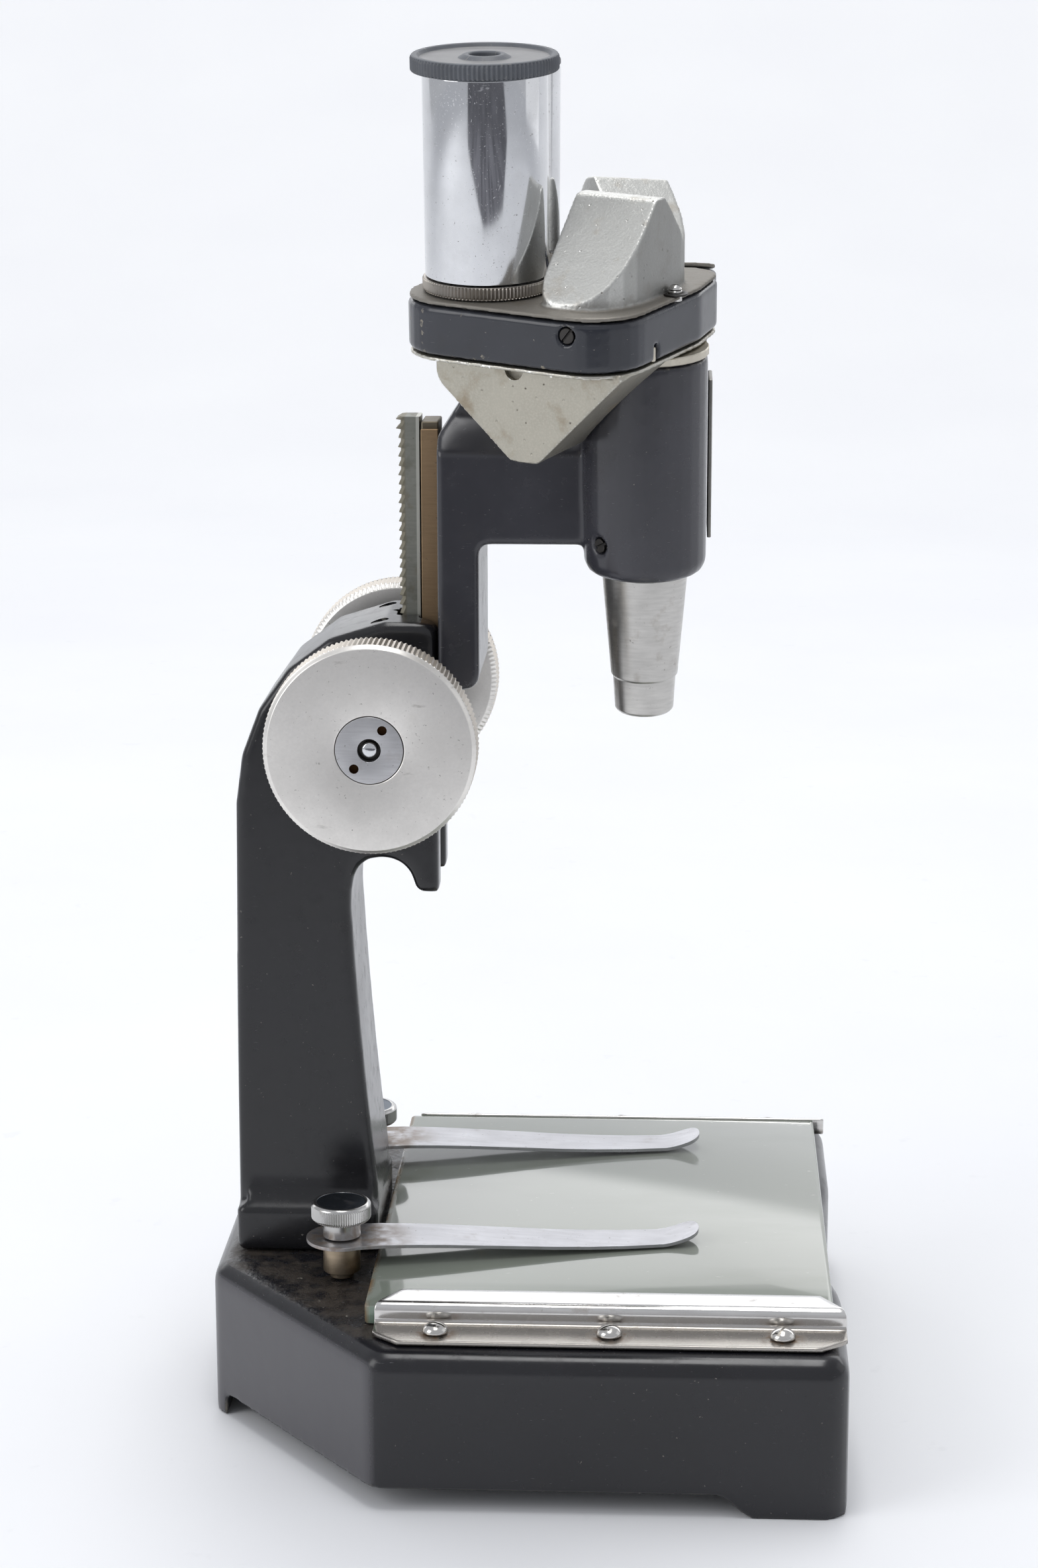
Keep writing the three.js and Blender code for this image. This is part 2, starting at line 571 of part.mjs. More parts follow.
function prismBoxFrame() {
  const { bottom, top, wall: thickness } = prismBox;
  const notch = box(33, 39, 0.9, 2.7, bottom - 1, bottom + 3.3);
  const room = boxSlab(thickness, bottom - 1, top + 1);
  return cut(boxSlab(0, bottom, top, 0.6), room, sideScrewAt(1.8, 6), notch);
}

function roofBlock(inset) {
  const { foot, ridge, flat, small, large } = roof;
  const [u0, u1, w0, w1] = [roof.u0 + inset, roof.u1 - inset, roof.w0 + inset, roof.w1 - inset];
  const low = upperPlate.bottom - (inset ? 1 : 0);
  const middle = (w0 + w1) / 2;
  const top = ridge - inset;
  const section = outline([[w0, low], [w1, low], [w1, foot, 1.5], [middle + flat / 2, top, 1.5],
    [middle - flat / 2, top, 1.5], [w0, foot, 1.5]]);
  const plan = new THREE.Shape();
  plan.moveTo(u0, w0 + small);
  plan.quadraticCurveTo(u0, w0, u0 + small, w0);
  plan.quadraticCurveTo(u1, w0, u1, w0 + large);
  plan.lineTo(u1, w1 - large);
  plan.quadraticCurveTo(u1, w1, u0 + small, w1);
  plan.quadraticCurveTo(u0, w1, u0, w1 - small);
  plan.closePath();
  return common(lengthways(section, u0 - 1, u1 + 1), raised(plan, low, ridge + 1, 0, 1, 6));
}

function troughBlock(inset) {
  const { u0, u1, half, tip, tip0, tip1 } = trough;
  const high = lowerPlate.top + (inset ? 1 : 0);
  const end = u1 - inset * 1.4;
  const section = outline([[u0 + inset, high], [u0 + inset, -4.5, 5],
    [tip0 + inset * 0.4, tip + inset, 2.5], [tip1 - inset * 0.4, tip + inset, 2.5],
    [end, lowerPlate.bottom - 0.4], [end, high]]);
  const block = sideways(section, -half + inset, half - inset, 0, 1, 3);
  return cut(block, aboutObjective(barrel.radius + 0.6 + inset, -40, lowerPlate.bottom - 0.15 + inset));
}

const coverScrewPlace = { u: 34.3, w: 12 };

function upperCover() {
  const plate = boxSlab(prismBox.plateInset, upperPlate.bottom, upperPlate.top);
  const { u, w } = coverScrewPlace;
  return cut(join(plate, roofBlock(0)), roofBlock(1.8), rod(ring.inner - 0.5, 5, 15),
    rod(0.9, 5, 15, SMALL).translate(u, w, 0));
}

function lowerCover() {
  const plate = boxSlab(prismBox.plateInset, lowerPlate.bottom, lowerPlate.top);
  return cut(join(plate, troughBlock(0)), troughBlock(1.7), aboutObjective(opticBelow, -3, 5));
}

function coverScrew() {
  const seat = upperPlate.top + GAP;
  const profile = [[0, seat - 1.4], [0.6, seat - 1.4], [0.6, seat], [1.35, seat], [1.25, seat + 0.8],
    [0.8, seat + 1.5], [0, seat + 1.7]];
  return turned(profile, SMALL).translate(coverScrewPlace.u, coverScrewPlace.w, 0);
}

// Right-angled prisms; each lies with its broad face to the inside of the box.
function upperPrism() {
  const middle = (roof.w0 + roof.w1) / 2;
  const half = 13.4;
  const low = 9;
  const section = outline([[middle - half, low], [middle + half, low], [middle, low + half]]);
  return lengthways(section, 18.8, 29.5);
}

function lowerPrism() {
  const middle = 12.5;
  const half = 14.8;
  const high = 5;
  const section = outline([[middle - half, high], [middle, high - half], [middle + half, high]]);
  return sideways(section, -7.8, 3.6);
}

const swivelRing = () => hollow(barrel.radius + 0.2, opticBelow, barrel.top + GAP,
  lowerPlate.bottom - GAP, 0.2);

// ---------------------------------------------------------------- eyepieces
const ringBottom = upperPlate.top + GAP;
const ringTop = ringBottom + ring.height;
const tubeBottom = ringTop + GAP;
const tubeTop = cap.top - cap.height - GAP;

const eyepieceRing = () => hollow(ring.radius, ring.inner, ringBottom, ringTop, 0.3);
const eyepieceTube = () => hollow(tube.radius, tube.inner, tubeBottom, tubeTop);

// Cap with a sleeve in the tube. The one on side b has lost its wide knurled rim.
function eyepieceCap(side) {
  const { top, height, sleeveLength, sleeveInner, sleeveRadius, hub, hole } = cap;
  const low = top - height;
  const radius = side.sign < 0 ? cap.radius : tube.radius;
  const rim = side.sign < 0 ? top : low + 1.6;
  return turned([[sleeveInner, low - sleeveLength], [sleeveRadius, low - sleeveLength],
    [sleeveRadius, low], [radius, low], [radius, rim - 0.5], [radius - 0.5, rim], [radius - 1.5, rim],
    [radius - 1.9, rim - 0.6], [hub, rim - 0.6], [hub - 0.4, rim - 0.1], [hole, rim - 0.1],
    [hole, low + 0.8], [sleeveInner, low + 0.8], [sleeveInner, low - sleeveLength]]);
}

function eyeLens() {
  const top = cap.top - cap.height + 0.4;
  const radius = cap.sleeveInner - GAP;
  return turned([[0, top - 3.2], [radius, top - 2.6], [radius, top - 0.9], [radius * 0.6, top - 0.35],
    [0, top]], 36);
}

// ---------------------------------------------------------------- assembly
add('base_casting', baseCasting(), 'enamel');
add('pillar', pillarCasting(), 'enamel');
add('stage_glass', stageGlass(), 'stageGlass');

const clipTurn = { a: 10.2, b: 8.7 };           // degrees, as the clips were left
for (const side of sides) {
  const { tag, sign } = side;
  add(`stage_rail_${tag}`, stageRail(side), 'chrome');
  add(`pinion_bush_${tag}`, alongY(hollow(pillar.bushRadius, shaft.radius + 0.2, 5.5, 30.3, 0, 28))
    .rotateZ(sign < 0 ? Math.PI : 0).translate(knob.x, 0, knob.z), 'brass');
  const place = new THREE.Group();
  place.position.set(post.x, sign * post.y, 0);
  microscope.add(place);
  add(`clip_post_${tag}`, clipPost(), 'nickel', place);
  add(`thumb_screw_${tag}`, thumbScrew(), 'nickel', place);
  add(`stage_clip_${tag}`, springClip(), 'nickel', place)
    .rotation.z = THREE.MathUtils.degToRad(clipTurn[tag]);
  const wheel = new THREE.Group();
  wheel.position.set(knob.x, sign * knob.inner, knob.z);
  wheel.rotation.x = -sign * Math.PI / 2;
  microscope.add(wheel);
  add(`focus_knob_${tag}`, knobWheel(), 'aluminium', wheel);
  add(`knob_disc_${tag}`, knobDisc(), 'nickel', wheel);
}
railScrewPlaces.forEach(([x, y], i) => {
  add(`rail_screw_${i < 3 ? 'a' : 'b'}${i % 3 + 1}`, railScrew(), 'nickel').position.set(x, y, 0);
});
add('pinion_shaft', pinionShaft(), 'steel');

add('arm_casting', armCasting(), 'enamel');
add('rack', rackBar(), 'steel');
add('slide_bar', slideBar(), 'steel');
add('gib_strip', gibStrip(), 'brass');
add('arm_front_plate', box(webFront + GAP, webFront + GAP + 0.8, -9, 9, 182.5, 214), 'enamel');

for (const side of sides) {
  const { tag } = side;
  const frame = headFrame(side);
  const objective = new THREE.Group();
  objective.position.set(objectiveAxis.x, side.inward * objectiveAxis.inward, 0);
  frame.add(objective);
  microscope.add(frame);
  add(`objective_cone_${tag}`, objectiveCone(), 'nickel', objective);
  add(`objective_lens_${tag}`, objectiveLens(), 'optic', objective);
  add(`barrel_screw_${tag}`, barrelScrewAt(side, 1.4, 1.7), 'steel', objective);
  add(`prism_box_${tag}`, inHead(prismBoxFrame(), side), 'enamel', frame);
  add(`upper_cover_${tag}`, inHead(upperCover(), side), 'castSilver', frame);
  add(`lower_cover_${tag}`, inHead(lowerCover(), side), 'castSilver', frame);
  add(`swivel_ring_${tag}`, swivelRing(), 'castSilver', objective);
  add(`upper_prism_${tag}`, inHead(upperPrism(), side), 'optic', frame);
  add(`lower_prism_${tag}`, inHead(lowerPrism(), side), 'optic', frame);
  add(`side_screw_${tag}`, inHead(sideScrewAt(1.5, 1.3), side), 'steel', frame);
  add(`cover_screw_${tag}`, inHead(coverScrew(), side), 'nickel', frame);
  add(`eyepiece_ring_${tag}`, eyepieceRing(), 'nickel', frame);
  add(`eyepiece_tube_${tag}`, eyepieceTube(), 'chrome', frame);
  add(`eyepiece_cap_${tag}`, eyepieceCap(side), 'plastic', frame);
  add(`eye_lens_${tag}`, eyeLens(), 'optic', frame);
}

export default microscope;
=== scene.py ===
import math

import bmesh
import bpy
from mathutils import Matrix, Vector


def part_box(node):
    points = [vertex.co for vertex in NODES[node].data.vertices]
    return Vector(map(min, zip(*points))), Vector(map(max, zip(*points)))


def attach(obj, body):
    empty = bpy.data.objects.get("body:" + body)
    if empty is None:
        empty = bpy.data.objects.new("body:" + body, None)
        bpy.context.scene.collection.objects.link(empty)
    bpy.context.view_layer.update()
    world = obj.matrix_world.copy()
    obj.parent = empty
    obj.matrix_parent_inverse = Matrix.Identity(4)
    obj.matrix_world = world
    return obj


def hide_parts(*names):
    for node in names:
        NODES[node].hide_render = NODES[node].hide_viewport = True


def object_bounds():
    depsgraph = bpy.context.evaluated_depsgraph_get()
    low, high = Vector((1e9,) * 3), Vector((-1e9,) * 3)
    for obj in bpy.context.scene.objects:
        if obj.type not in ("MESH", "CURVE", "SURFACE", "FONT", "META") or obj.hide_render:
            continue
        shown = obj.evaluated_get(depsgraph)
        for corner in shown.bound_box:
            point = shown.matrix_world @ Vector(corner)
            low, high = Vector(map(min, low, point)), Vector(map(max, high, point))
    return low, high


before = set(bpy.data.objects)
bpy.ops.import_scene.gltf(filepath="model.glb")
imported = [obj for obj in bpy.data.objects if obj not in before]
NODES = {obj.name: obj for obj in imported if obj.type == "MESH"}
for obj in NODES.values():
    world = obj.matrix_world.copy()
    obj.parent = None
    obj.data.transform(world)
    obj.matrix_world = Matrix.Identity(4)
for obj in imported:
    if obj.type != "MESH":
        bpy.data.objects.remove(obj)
cad_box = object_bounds()
MM = 0.001
SIDES = (("a", -1), ("b", 1))

# Lengths in millimetres of the row frame.
LEAN = math.radians(8.05)                   # tilt of each optical axis
HEAD = (-6.9, 24.12, 221.65)                # underside of the far prism box, on its eyepiece axis
OBJECTIVE = (30.4, 4.6)                     # objective axis from the eyepiece axis, in the head's plane
BOX_TURN = math.radians(27)                 # turn of the prism box about the eyepiece axis
HOLE_CIRCLE, HOLE_RADIUS = 4.75, 0.95       # spanner holes of the knob disc
HOLE_TURNS = (math.radians(57), math.radians(231))
SHEET, LIP, LIP_CUT = 0.9, 7.8, 5.2         # stage rail: thickness, lip over the glass, its cut-back ends
RACK_PITCH = 1.885
THUMB_RADIUS, THUMB_HEIGHT = 6.1, 3.9       # knurled head of the clip's screw
CUBE = [(0, 1, 3, 2), (4, 6, 7, 5), (0, 4, 5, 1), (2, 3, 7, 6), (0, 2, 6, 4), (1, 5, 7, 3)]

# Studio and camera.
FLOOR = cad_box[0][2] / MM
SKY, SKY_STRENGTH = (0.93, 0.95, 1.0, 1.0), 0.57
CAMERA_PLACE = (31.347, -662.797, 285.004)
CAMERA_TURN, CAMERA_DROP, CAMERA_ROLL = 2.91, 13.19, -0.12
CAMERA_LENS, CAMERA_SENSOR = 75.72, 36


def middle(node):
    """Middle of a CAD node's box."""
    low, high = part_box(node)
    return [(a + b) / 2 / MM for a, b in zip(low, high)]


def span(node, axis):
    """Both ends of a CAD node's box along an axis."""
    low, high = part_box(node)
    return low[axis] / MM, high[axis] / MM


# ---------------------------------------------------------------- materials
def rgb(red, green, blue):
    """Linear colour of 8-bit screen values."""
    return tuple(((v / 255 + 0.055) / 1.055) ** 2.4 for v in (red, green, blue)) + (1.0,)


class Surface:
    """Principled material built up in layers; every length is in millimetres."""

    def __init__(self, name, color, roughness=0.5, metallic=0.0, **fixed):
        self.material = bpy.data.materials.new(name)
        self.material.use_nodes = True
        self.tree = self.material.node_tree
        self.shader = self.tree.nodes["Principled BSDF"]
        self.values = {"Base Color": color, "Roughness": roughness, "Metallic": metallic}
        self.normal = None
        for socket, value in fixed.items():
            self.shader.inputs[socket.replace("_", " ")].default_value = value
        self.place = self.node("ShaderNodeTexCoord")
        scale = self.node("ShaderNodeVectorMath", operation="SCALE")
        self.tree.links.new(self.place.outputs["Object"], scale.inputs[0])
        scale.inputs["Scale"].default_value = 1 / MM
        self.at = scale.outputs[0]

    def node(self, kind, **settings):
        node = self.tree.nodes.new(kind)
        for key, value in settings.items():
            setattr(node, key, value)
        return node

    def plug(self, socket, value):
        if isinstance(value, bpy.types.NodeSocket):
            self.tree.links.new(value, socket)
        else:
            socket.default_value = value

    def math(self, operation, a, b=0.0):
        node = self.node("ShaderNodeMath", operation=operation)
        self.plug(node.inputs[0], a)
        self.plug(node.inputs[1], b)
        return node.outputs[0]

    def times(self, *masks):
        result = masks[0]
        for mask in masks[1:]:
            result = self.math("MULTIPLY", result, mask)
        return result

    def ramp(self, value, low, high):
        """0 at low and 1 at high, which may be the smaller one."""
        node = self.node("ShaderNodeMapRange")
        self.plug(node.inputs["Value"], value)
        node.inputs["From Min"].default_value = low
        node.inputs["From Max"].default_value = high
        return node.outputs[0]

    def moved(self, size, stretch, seed):
        node = self.node("ShaderNodeMapping")
        self.tree.links.new(self.at, node.inputs["Vector"])
        node.inputs["Location"].default_value = (seed * 7.31, seed * 3.17, seed * 5.73)
        node.inputs["Scale"].default_value = [1 / (size * s) for s in stretch]
        return node.outputs[0]

    def noise(self, size, low, high, detail=4.0, stretch=(1, 1, 1), seed=0.0):
        node = self.node("ShaderNodeTexNoise")
        self.tree.links.new(self.moved(size, stretch, seed), node.inputs["Vector"])
        node.inputs["Scale"].default_value = 1.0
        node.inputs["Detail"].default_value = detail
        node.inputs["Roughness"].default_value = 0.55
        return self.ramp(node.outputs["Fac"], low, high)

    def cells(self, size, low, high, seed):
        node = self.node("ShaderNodeTexVoronoi", feature="F1")
        self.tree.links.new(self.moved(size, (1, 1, 1), seed), node.inputs["Vector"])
        node.inputs["Scale"].default_value = 1.0
        return self.ramp(node.outputs["Distance"], low, high)

    def edges(self, low, high):
        """Mask of the convex edges, or of the hollows where high is the smaller one."""
        node = self.node("ShaderNodeNewGeometry")
        return self.ramp(node.outputs["Pointiness"], low, high)

    def along(self, axis, low, high):
        node = self.node("ShaderNodeSeparateXYZ")
        self.tree.links.new(self.at, node.inputs[0])
        return self.ramp(node.outputs[axis], low, high)

    def close_to(self, point, radius, soft):
        node = self.node("ShaderNodeVectorMath", operation="DISTANCE")
        self.tree.links.new(self.at, node.inputs[0])
        node.inputs[1].default_value = point
        return self.ramp(node.outputs["Value"], radius + soft, radius)

    def height_in_head(self):
        """Height along the optical axes; they lean apart, mirrored about Y = 0."""
        node = self.node("ShaderNodeSeparateXYZ")
        self.tree.links.new(self.at, node.inputs[0])
        side = self.math("SUBTRACT", self.math("ABSOLUTE", node.outputs[1]), HEAD[1])
        rise = self.math("SUBTRACT", node.outputs[2], HEAD[2])
        across = self.math("MULTIPLY", side, math.sin(LEAN))
        return self.math("ADD", self.math("MULTIPLY", rise, math.cos(LEAN)), across)

    def facing(self, direction, low, high):
        node = self.node("ShaderNodeVectorMath", operation="DOT_PRODUCT")
        self.tree.links.new(self.place.outputs["Normal"], node.inputs[0])
        node.inputs[1].default_value = direction
        return self.ramp(node.outputs["Value"], low, high)

    def layer(self, mask, color=None, roughness=None, metallic=None):
        for socket, value in (("Roughness", roughness), ("Metallic", metallic)):
            if value is not None:
                node = self.node("ShaderNodeMix", data_type="FLOAT")
                self.plug(node.inputs[0], mask)
                self.plug(node.inputs[2], self.values[socket])
                self.plug(node.inputs[3], value)
                self.values[socket] = node.outputs[0]
        if color is not None:
            node = self.node("ShaderNodeMix", data_type="RGBA")
            self.plug(node.inputs[0], mask)
            self.plug(node.inputs[6], self.values["Base Color"])
            self.plug(node.inputs[7], color)
            self.values["Base Color"] = node.outputs[2]
        return self

    def relief(self, height, depth, strength=1.0):
        node = self.node("ShaderNodeBump")
        node.inputs["Strength"].default_value = strength
        node.inputs["Distance"].default_value = depth * MM
        self.plug(node.inputs["Height"], height)
        if self.normal:
            self.tree.links.new(self.normal, node.inputs["Normal"])
        self.normal = node.outputs["Normal"]
        return self

    def done(self):
        for socket, value in self.values.items():
            self.plug(self.shader.inputs[socket], value)
        if self.normal:
            self.tree.links.new(self.normal, self.shader.inputs["Normal"])
        return self.material


def enamel(name, seed, chips, sheen, tone=(22, 22, 26)):
    """Black stove enamel with worn edges, scuffs, specks and old dirt."""
    s = Surface(name, rgb(*tone), sheen, 0.0, Specular_IOR_Level=0.55)
    s.layer(s.noise(26, 0.35, 0.7, seed=seed), rgb(*[v * 1.2 for v in tone]), sheen + 0.06)
    s.layer(s.noise(3.2, 0.52, 0.72, 5, seed=seed + 1), roughness=sheen + 0.1)
    scuffs = s.noise(0.3, 0.7, 0.73, 3, stretch=(6, 6, 0.7), seed=seed + 7)
    s.layer(s.times(scuffs, 0.4), rgb(104, 104, 106), sheen + 0.22)
    worn = s.times(s.edges(0.535, 0.58), s.noise(2.2, 0.47, 0.58, 6, seed=seed + 2), chips)
    s.layer(worn, rgb(146, 140, 128), 0.45, 0.7)
    s.layer(s.times(s.noise(0.9, 0.74, 0.77, 2, seed=seed + 3), 0.7), rgb(120, 116, 110), 0.7)
    s.layer(s.times(s.noise(9, 0.6, 0.8, 6, seed=seed + 4), 0.25), rgb(48, 43, 38), 0.5)
    s.relief(s.noise(1.2, 0.2, 0.8, 3, seed=seed + 5), 0.012, 0.3)
    s.relief(s.noise(12, 0.2, 0.8, 2, seed=seed + 6), 0.16, 0.3)
    s.relief(worn, -0.12, 0.6)
    return s


def cast_silver(name, seed, tone, shade, plate=None):
    """Sand-cast silvery cover with pits, bright worn ridges and painted shade on the faces turned to +X;
    plate gives the heights of a dark foot.
    """
    s = Surface(name, rgb(*tone), 0.4, 0.9)
    s.layer(s.noise(9, 0.35, 0.75, 5, seed=seed), rgb(*[v * 0.96 for v in tone]), 0.44)
    s.layer(s.noise(0.4, 0.45, 0.7, 3, seed=seed + 1), rgb(*[v * 1.03 for v in tone]), 0.36)
    s.layer(s.times(s.noise(6, 0.56, 0.74, 6, seed=seed + 2), 0.5), rgb(132, 112, 82), 0.56, 0.5)
    pits = s.cells(2.1, 0.13, 0.06, seed=seed + 3)
    s.layer(s.times(pits, s.noise(6, 0.5, 0.62, seed=seed + 4), 0.8), rgb(70, 62, 52), 0.8, 0.3)
    ridge = s.times(s.edges(0.525, 0.58), s.noise(1.8, 0.36, 0.52, 5, seed=seed + 5))
    s.layer(ridge, rgb(236, 236, 232), 0.22, 1.0)
    s.layer(s.times(s.edges(0.47, 0.41), 0.75), rgb(66, 58, 48), 0.7, 0.3)
    s.relief(s.noise(0.5, 0.2, 0.8, 3, seed=seed + 6), 0.045, 0.8)
    s.relief(s.noise(3.5, 0.2, 0.8, 3, seed=seed + 7), 0.12, 0.5)
    s.relief(pits, -0.15, 0.6)
    # Painted shade: faces turned towards +X are painted darker, by the factor given.
    s.layer(s.times(s.facing((1, 0, 0), 0.45, 0.85), shade), rgb(*[v * 0.62 for v in tone]), 0.5)
    if plate:
        low, high = plate
        mask = s.ramp(s.height_in_head(), high, low)
        s.layer(s.times(mask, 0.8), rgb(92, 84, 72), 0.55, 0.4)
    return s


def metal(name, tone, roughness, seed, brush, stain, grain=0.35):
    """Bare metal with cloudy wear, brush lines along the long side of brush, and rust."""
    s = Surface(name, rgb(*tone), roughness, 1.0)
    s.layer(s.noise(11, 0.35, 0.7, 4, seed=seed), rgb(*[v * 0.93 for v in tone]), roughness + 0.07)
    if brush:
        lines = s.noise(1.0, 0.3, 0.7, 3, stretch=brush, seed=seed + 1)
        s.layer(s.times(lines, 0.5), rgb(*[v * 0.84 for v in tone]), roughness + 0.12)
        s.relief(lines, 0.02, grain)
    s.layer(s.times(s.noise(4, 0.6, 0.75, 6, seed=seed + 2), stain), rgb(112, 92, 66), 0.6, 0.5)
    s.layer(s.times(s.noise(0.7, 0.68, 0.74, 3, seed=seed + 3), 0.6), rgb(84, 76, 66), 0.6, 0.5)
    return s


def enamel_base():
    s = enamel("enamel_base", 1.0, 0.6, 0.2)
    # Painted reflection: the corner chamfers turned towards -X are painted lighter grey, standing in for
    # the bright left of the studio mirrored in them.
    for side in (-0.61, 0.61):
        s.layer(s.times(s.facing((-0.79, side, 0), 0.85, 0.97), 0.8), rgb(74, 73, 77), 0.3)
    inside = s.times(s.along(1, -63.5, -61.5), s.along(1, 63.5, 61.5))
    top = s.times(s.facing((0, 0, 1), 0.93, 0.995), inside)
    s.layer(s.times(top, s.noise(5, 0.42, 0.58, 8, seed=11), 0.85), rgb(56, 49, 42), 0.6)
    s.layer(s.times(top, s.noise(1.3, 0.66, 0.72, 6, seed=12)), rgb(128, 124, 114), 0.7)
    s.layer(s.times(top, s.noise(2.6, 0.4, 0.33, 8, seed=13)), rgb(18, 16, 14), 0.7)
    s.relief(s.times(top, s.noise(1.4, 0.3, 0.7, 6, seed=14)), 0.25, 0.6)
    return s.done()


def rack_steel():
    s = metal("rack_steel", (152, 153, 145), 0.42, 61, (6, 6, 0.6), 0.5)
    s.layer(s.times(s.noise(3, 0.5, 0.7, 6, seed=66), 0.5), rgb(104, 102, 90), 0.6)
    front = span("rack", 0)[1]
    s.layer(s.times(s.along(0, front - 0.95, front - 0.8), 0.8), rgb(206, 206, 198), 0.4)
    s.layer(s.times(s.along(0, front - 2.9, front - 3.3), 0.5), rgb(128, 118, 96), 0.6)
    return s.done()


def rail_chrome():
    s = metal("rail_chrome", (236, 235, 233), 0.12, 131, (12, 1, 1), 0.35, 0.06)
    low = span("stage_rail_a", 2)[0]
    s.layer(s.times(s.along(2, low + 4.1, low + 3.7), 0.5), rgb(204, 200, 196), 0.15)
    s.layer(s.times(s.along(2, low + 1.7, low + 1.1), 0.8), rgb(154, 149, 142), 0.3)
    rust = s.noise(1.6, 0.4, 0.6, 6, seed=135)
    for tag, _ in SIDES:
        for i in (1, 2, 3):
            x, y, _ = middle(f"rail_screw_{tag}{i}")
            s.layer(s.times(s.close_to((x, y, low + 1), 2.6, 2.4), rust, 0.8), rgb(112, 84, 56), 0.6, 0.5)
    return s.done()


def clip_steel():
    s = metal("clip_steel", (194, 194, 198), 0.26, 141, (10, 1.2, 1), 0.2)
    rust = s.noise(3, 0.35, 0.6, 6, seed=145)
    for tag, _ in SIDES:
        x, y, _ = middle(f"clip_post_{tag}")
        s.layer(s.times(s.close_to((x, y, 41), 8, 8), rust, 0.75), rgb(118, 98, 76), 0.5, 0.6)
    return s.done()


def frosted_glass():
    low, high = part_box("stage_glass")
    near, far = low[1] / MM, high[1] / MM
    s = Surface("stage_glass_green", rgb(124, 130, 122), 0.1, 0.0,
                IOR=1.5, Coat_Weight=0.6, Coat_Roughness=0.03)
    # Painted sheen: the glass is painted lighter towards +X.
    s.layer(s.along(0, low[0] / MM, high[0] / MM), rgb(142, 145, 137), 0.12)
    s.layer(s.times(s.noise(45, 0.3, 0.7, 2, seed=71), 0.5), rgb(140, 146, 134), 0.12)
    # Painted shade: a darker strip of glass along the near rail's lip.
    lip_shade_band = s.times(s.along(1, near + 13.5, near + 11.5), 0.55)
    s.layer(lip_shade_band, rgb(116, 124, 113))
    specks = s.noise(1.5, 0.68, 0.74, 4, stretch=(2, 1, 1), seed=72)
    s.layer(s.times(specks, 0.5), rgb(178, 180, 172), 0.4)
    smears = s.noise(12, 0.5, 0.75, 8, stretch=(3, 1, 1), seed=73)
    s.layer(s.times(smears, 0.5), rgb(128, 133, 122), 0.2)
    edge = s.facing((0, 0, 1), 0.6, 0.3)
    s.layer(edge, rgb(120, 138, 124), 0.25)
    rust = s.times(s.along(0, low[0] / MM + 1.2, low[0] / MM + 0.2), s.noise(4, 0.35, 0.55, 6, seed=74))
    s.layer(rust, rgb(108, 84, 52), 0.7)
    s.layer(s.close_to((-10.5, -18.4, high[2] / MM), 0.6, 0.5), rgb(222, 204, 158), 0.9)
    return s.done()


def optic():
    s = Surface("optical_glass", rgb(226, 236, 236), 0.04, 0.0, Transmission_Weight=0.85, IOR=1.52)
    s.layer(s.noise(2.5, 0.55, 0.8, 4, seed=81), rgb(196, 206, 206), 0.12)
    return s.done()


def plastic(name, tone, seed):
    s = Surface(name, rgb(*tone), 0.5)
    s.layer(s.noise(6, 0.35, 0.7, 4, seed=seed), rgb(*[v * 1.18 for v in tone]), 0.6)
    s.layer(s.times(s.noise(0.8, 0.62, 0.72, 4, seed=seed + 1), 0.6), rgb(136, 134, 130), 0.8)
    s.layer(s.times(s.edges(0.53, 0.62), 0.7), rgb(120, 119, 116), 0.45)
    s.relief(s.noise(0.5, 0.2, 0.8, 3, seed=seed + 2), 0.03, 0.5)
    return s


def knob_metal(name, seed):
    s = metal(name, (240, 237, 232), 0.34, seed, None, 0.08)
    s.layer(s.times(s.noise(0.5, 0.3, 0.7, 4, seed=seed + 8), 0.25), rgb(206, 203, 198), 0.42)
    s.relief(s.noise(0.35, 0.2, 0.8, 3, seed=seed + 7), 0.01, 0.4)
    upright = s.node("ShaderNodeVectorMath", operation="DOT_PRODUCT")
    s.tree.links.new(s.place.outputs["Normal"], upright.inputs[0])
    upright.inputs[1].default_value = (0, 1, 0)
    rim = s.ramp(s.math("ABSOLUTE", upright.outputs["Value"]), 0.45, 0.25)
    s.layer(s.times(rim, 0.85), rgb(206, 198, 187), 0.45, 0.9)
    spots = s.noise(3, 0.66, 0.74, 5, stretch=(3, 3, 1), seed=seed + 9)
    s.layer(s.times(spots, 0.5), rgb(124, 118, 108), 0.5)
    return s.done()


def tube_chrome():
    s = metal("tube_chrome", (220, 221, 223), 0.07, 121, None, 0.05)
    s.layer(s.times(s.noise(0.35, 0.66, 0.7, 2, seed=125), 0.6), rgb(232, 232, 234), 0.5)
    for low, high, stretch, seed in ((0.7, 0.73, (1, 1, 22), 126), (0.71, 0.74, (14, 1, 9), 127)):
        scratches = s.noise(0.22, low, high, 2, stretch=stretch, seed=seed)
        s.layer(s.times(scratches, 0.6), rgb(226, 226, 228), 0.35)
    s.relief(s.noise(14, 0.2, 0.8, 2, seed=128), 0.03, 0.3)
    return s.done()


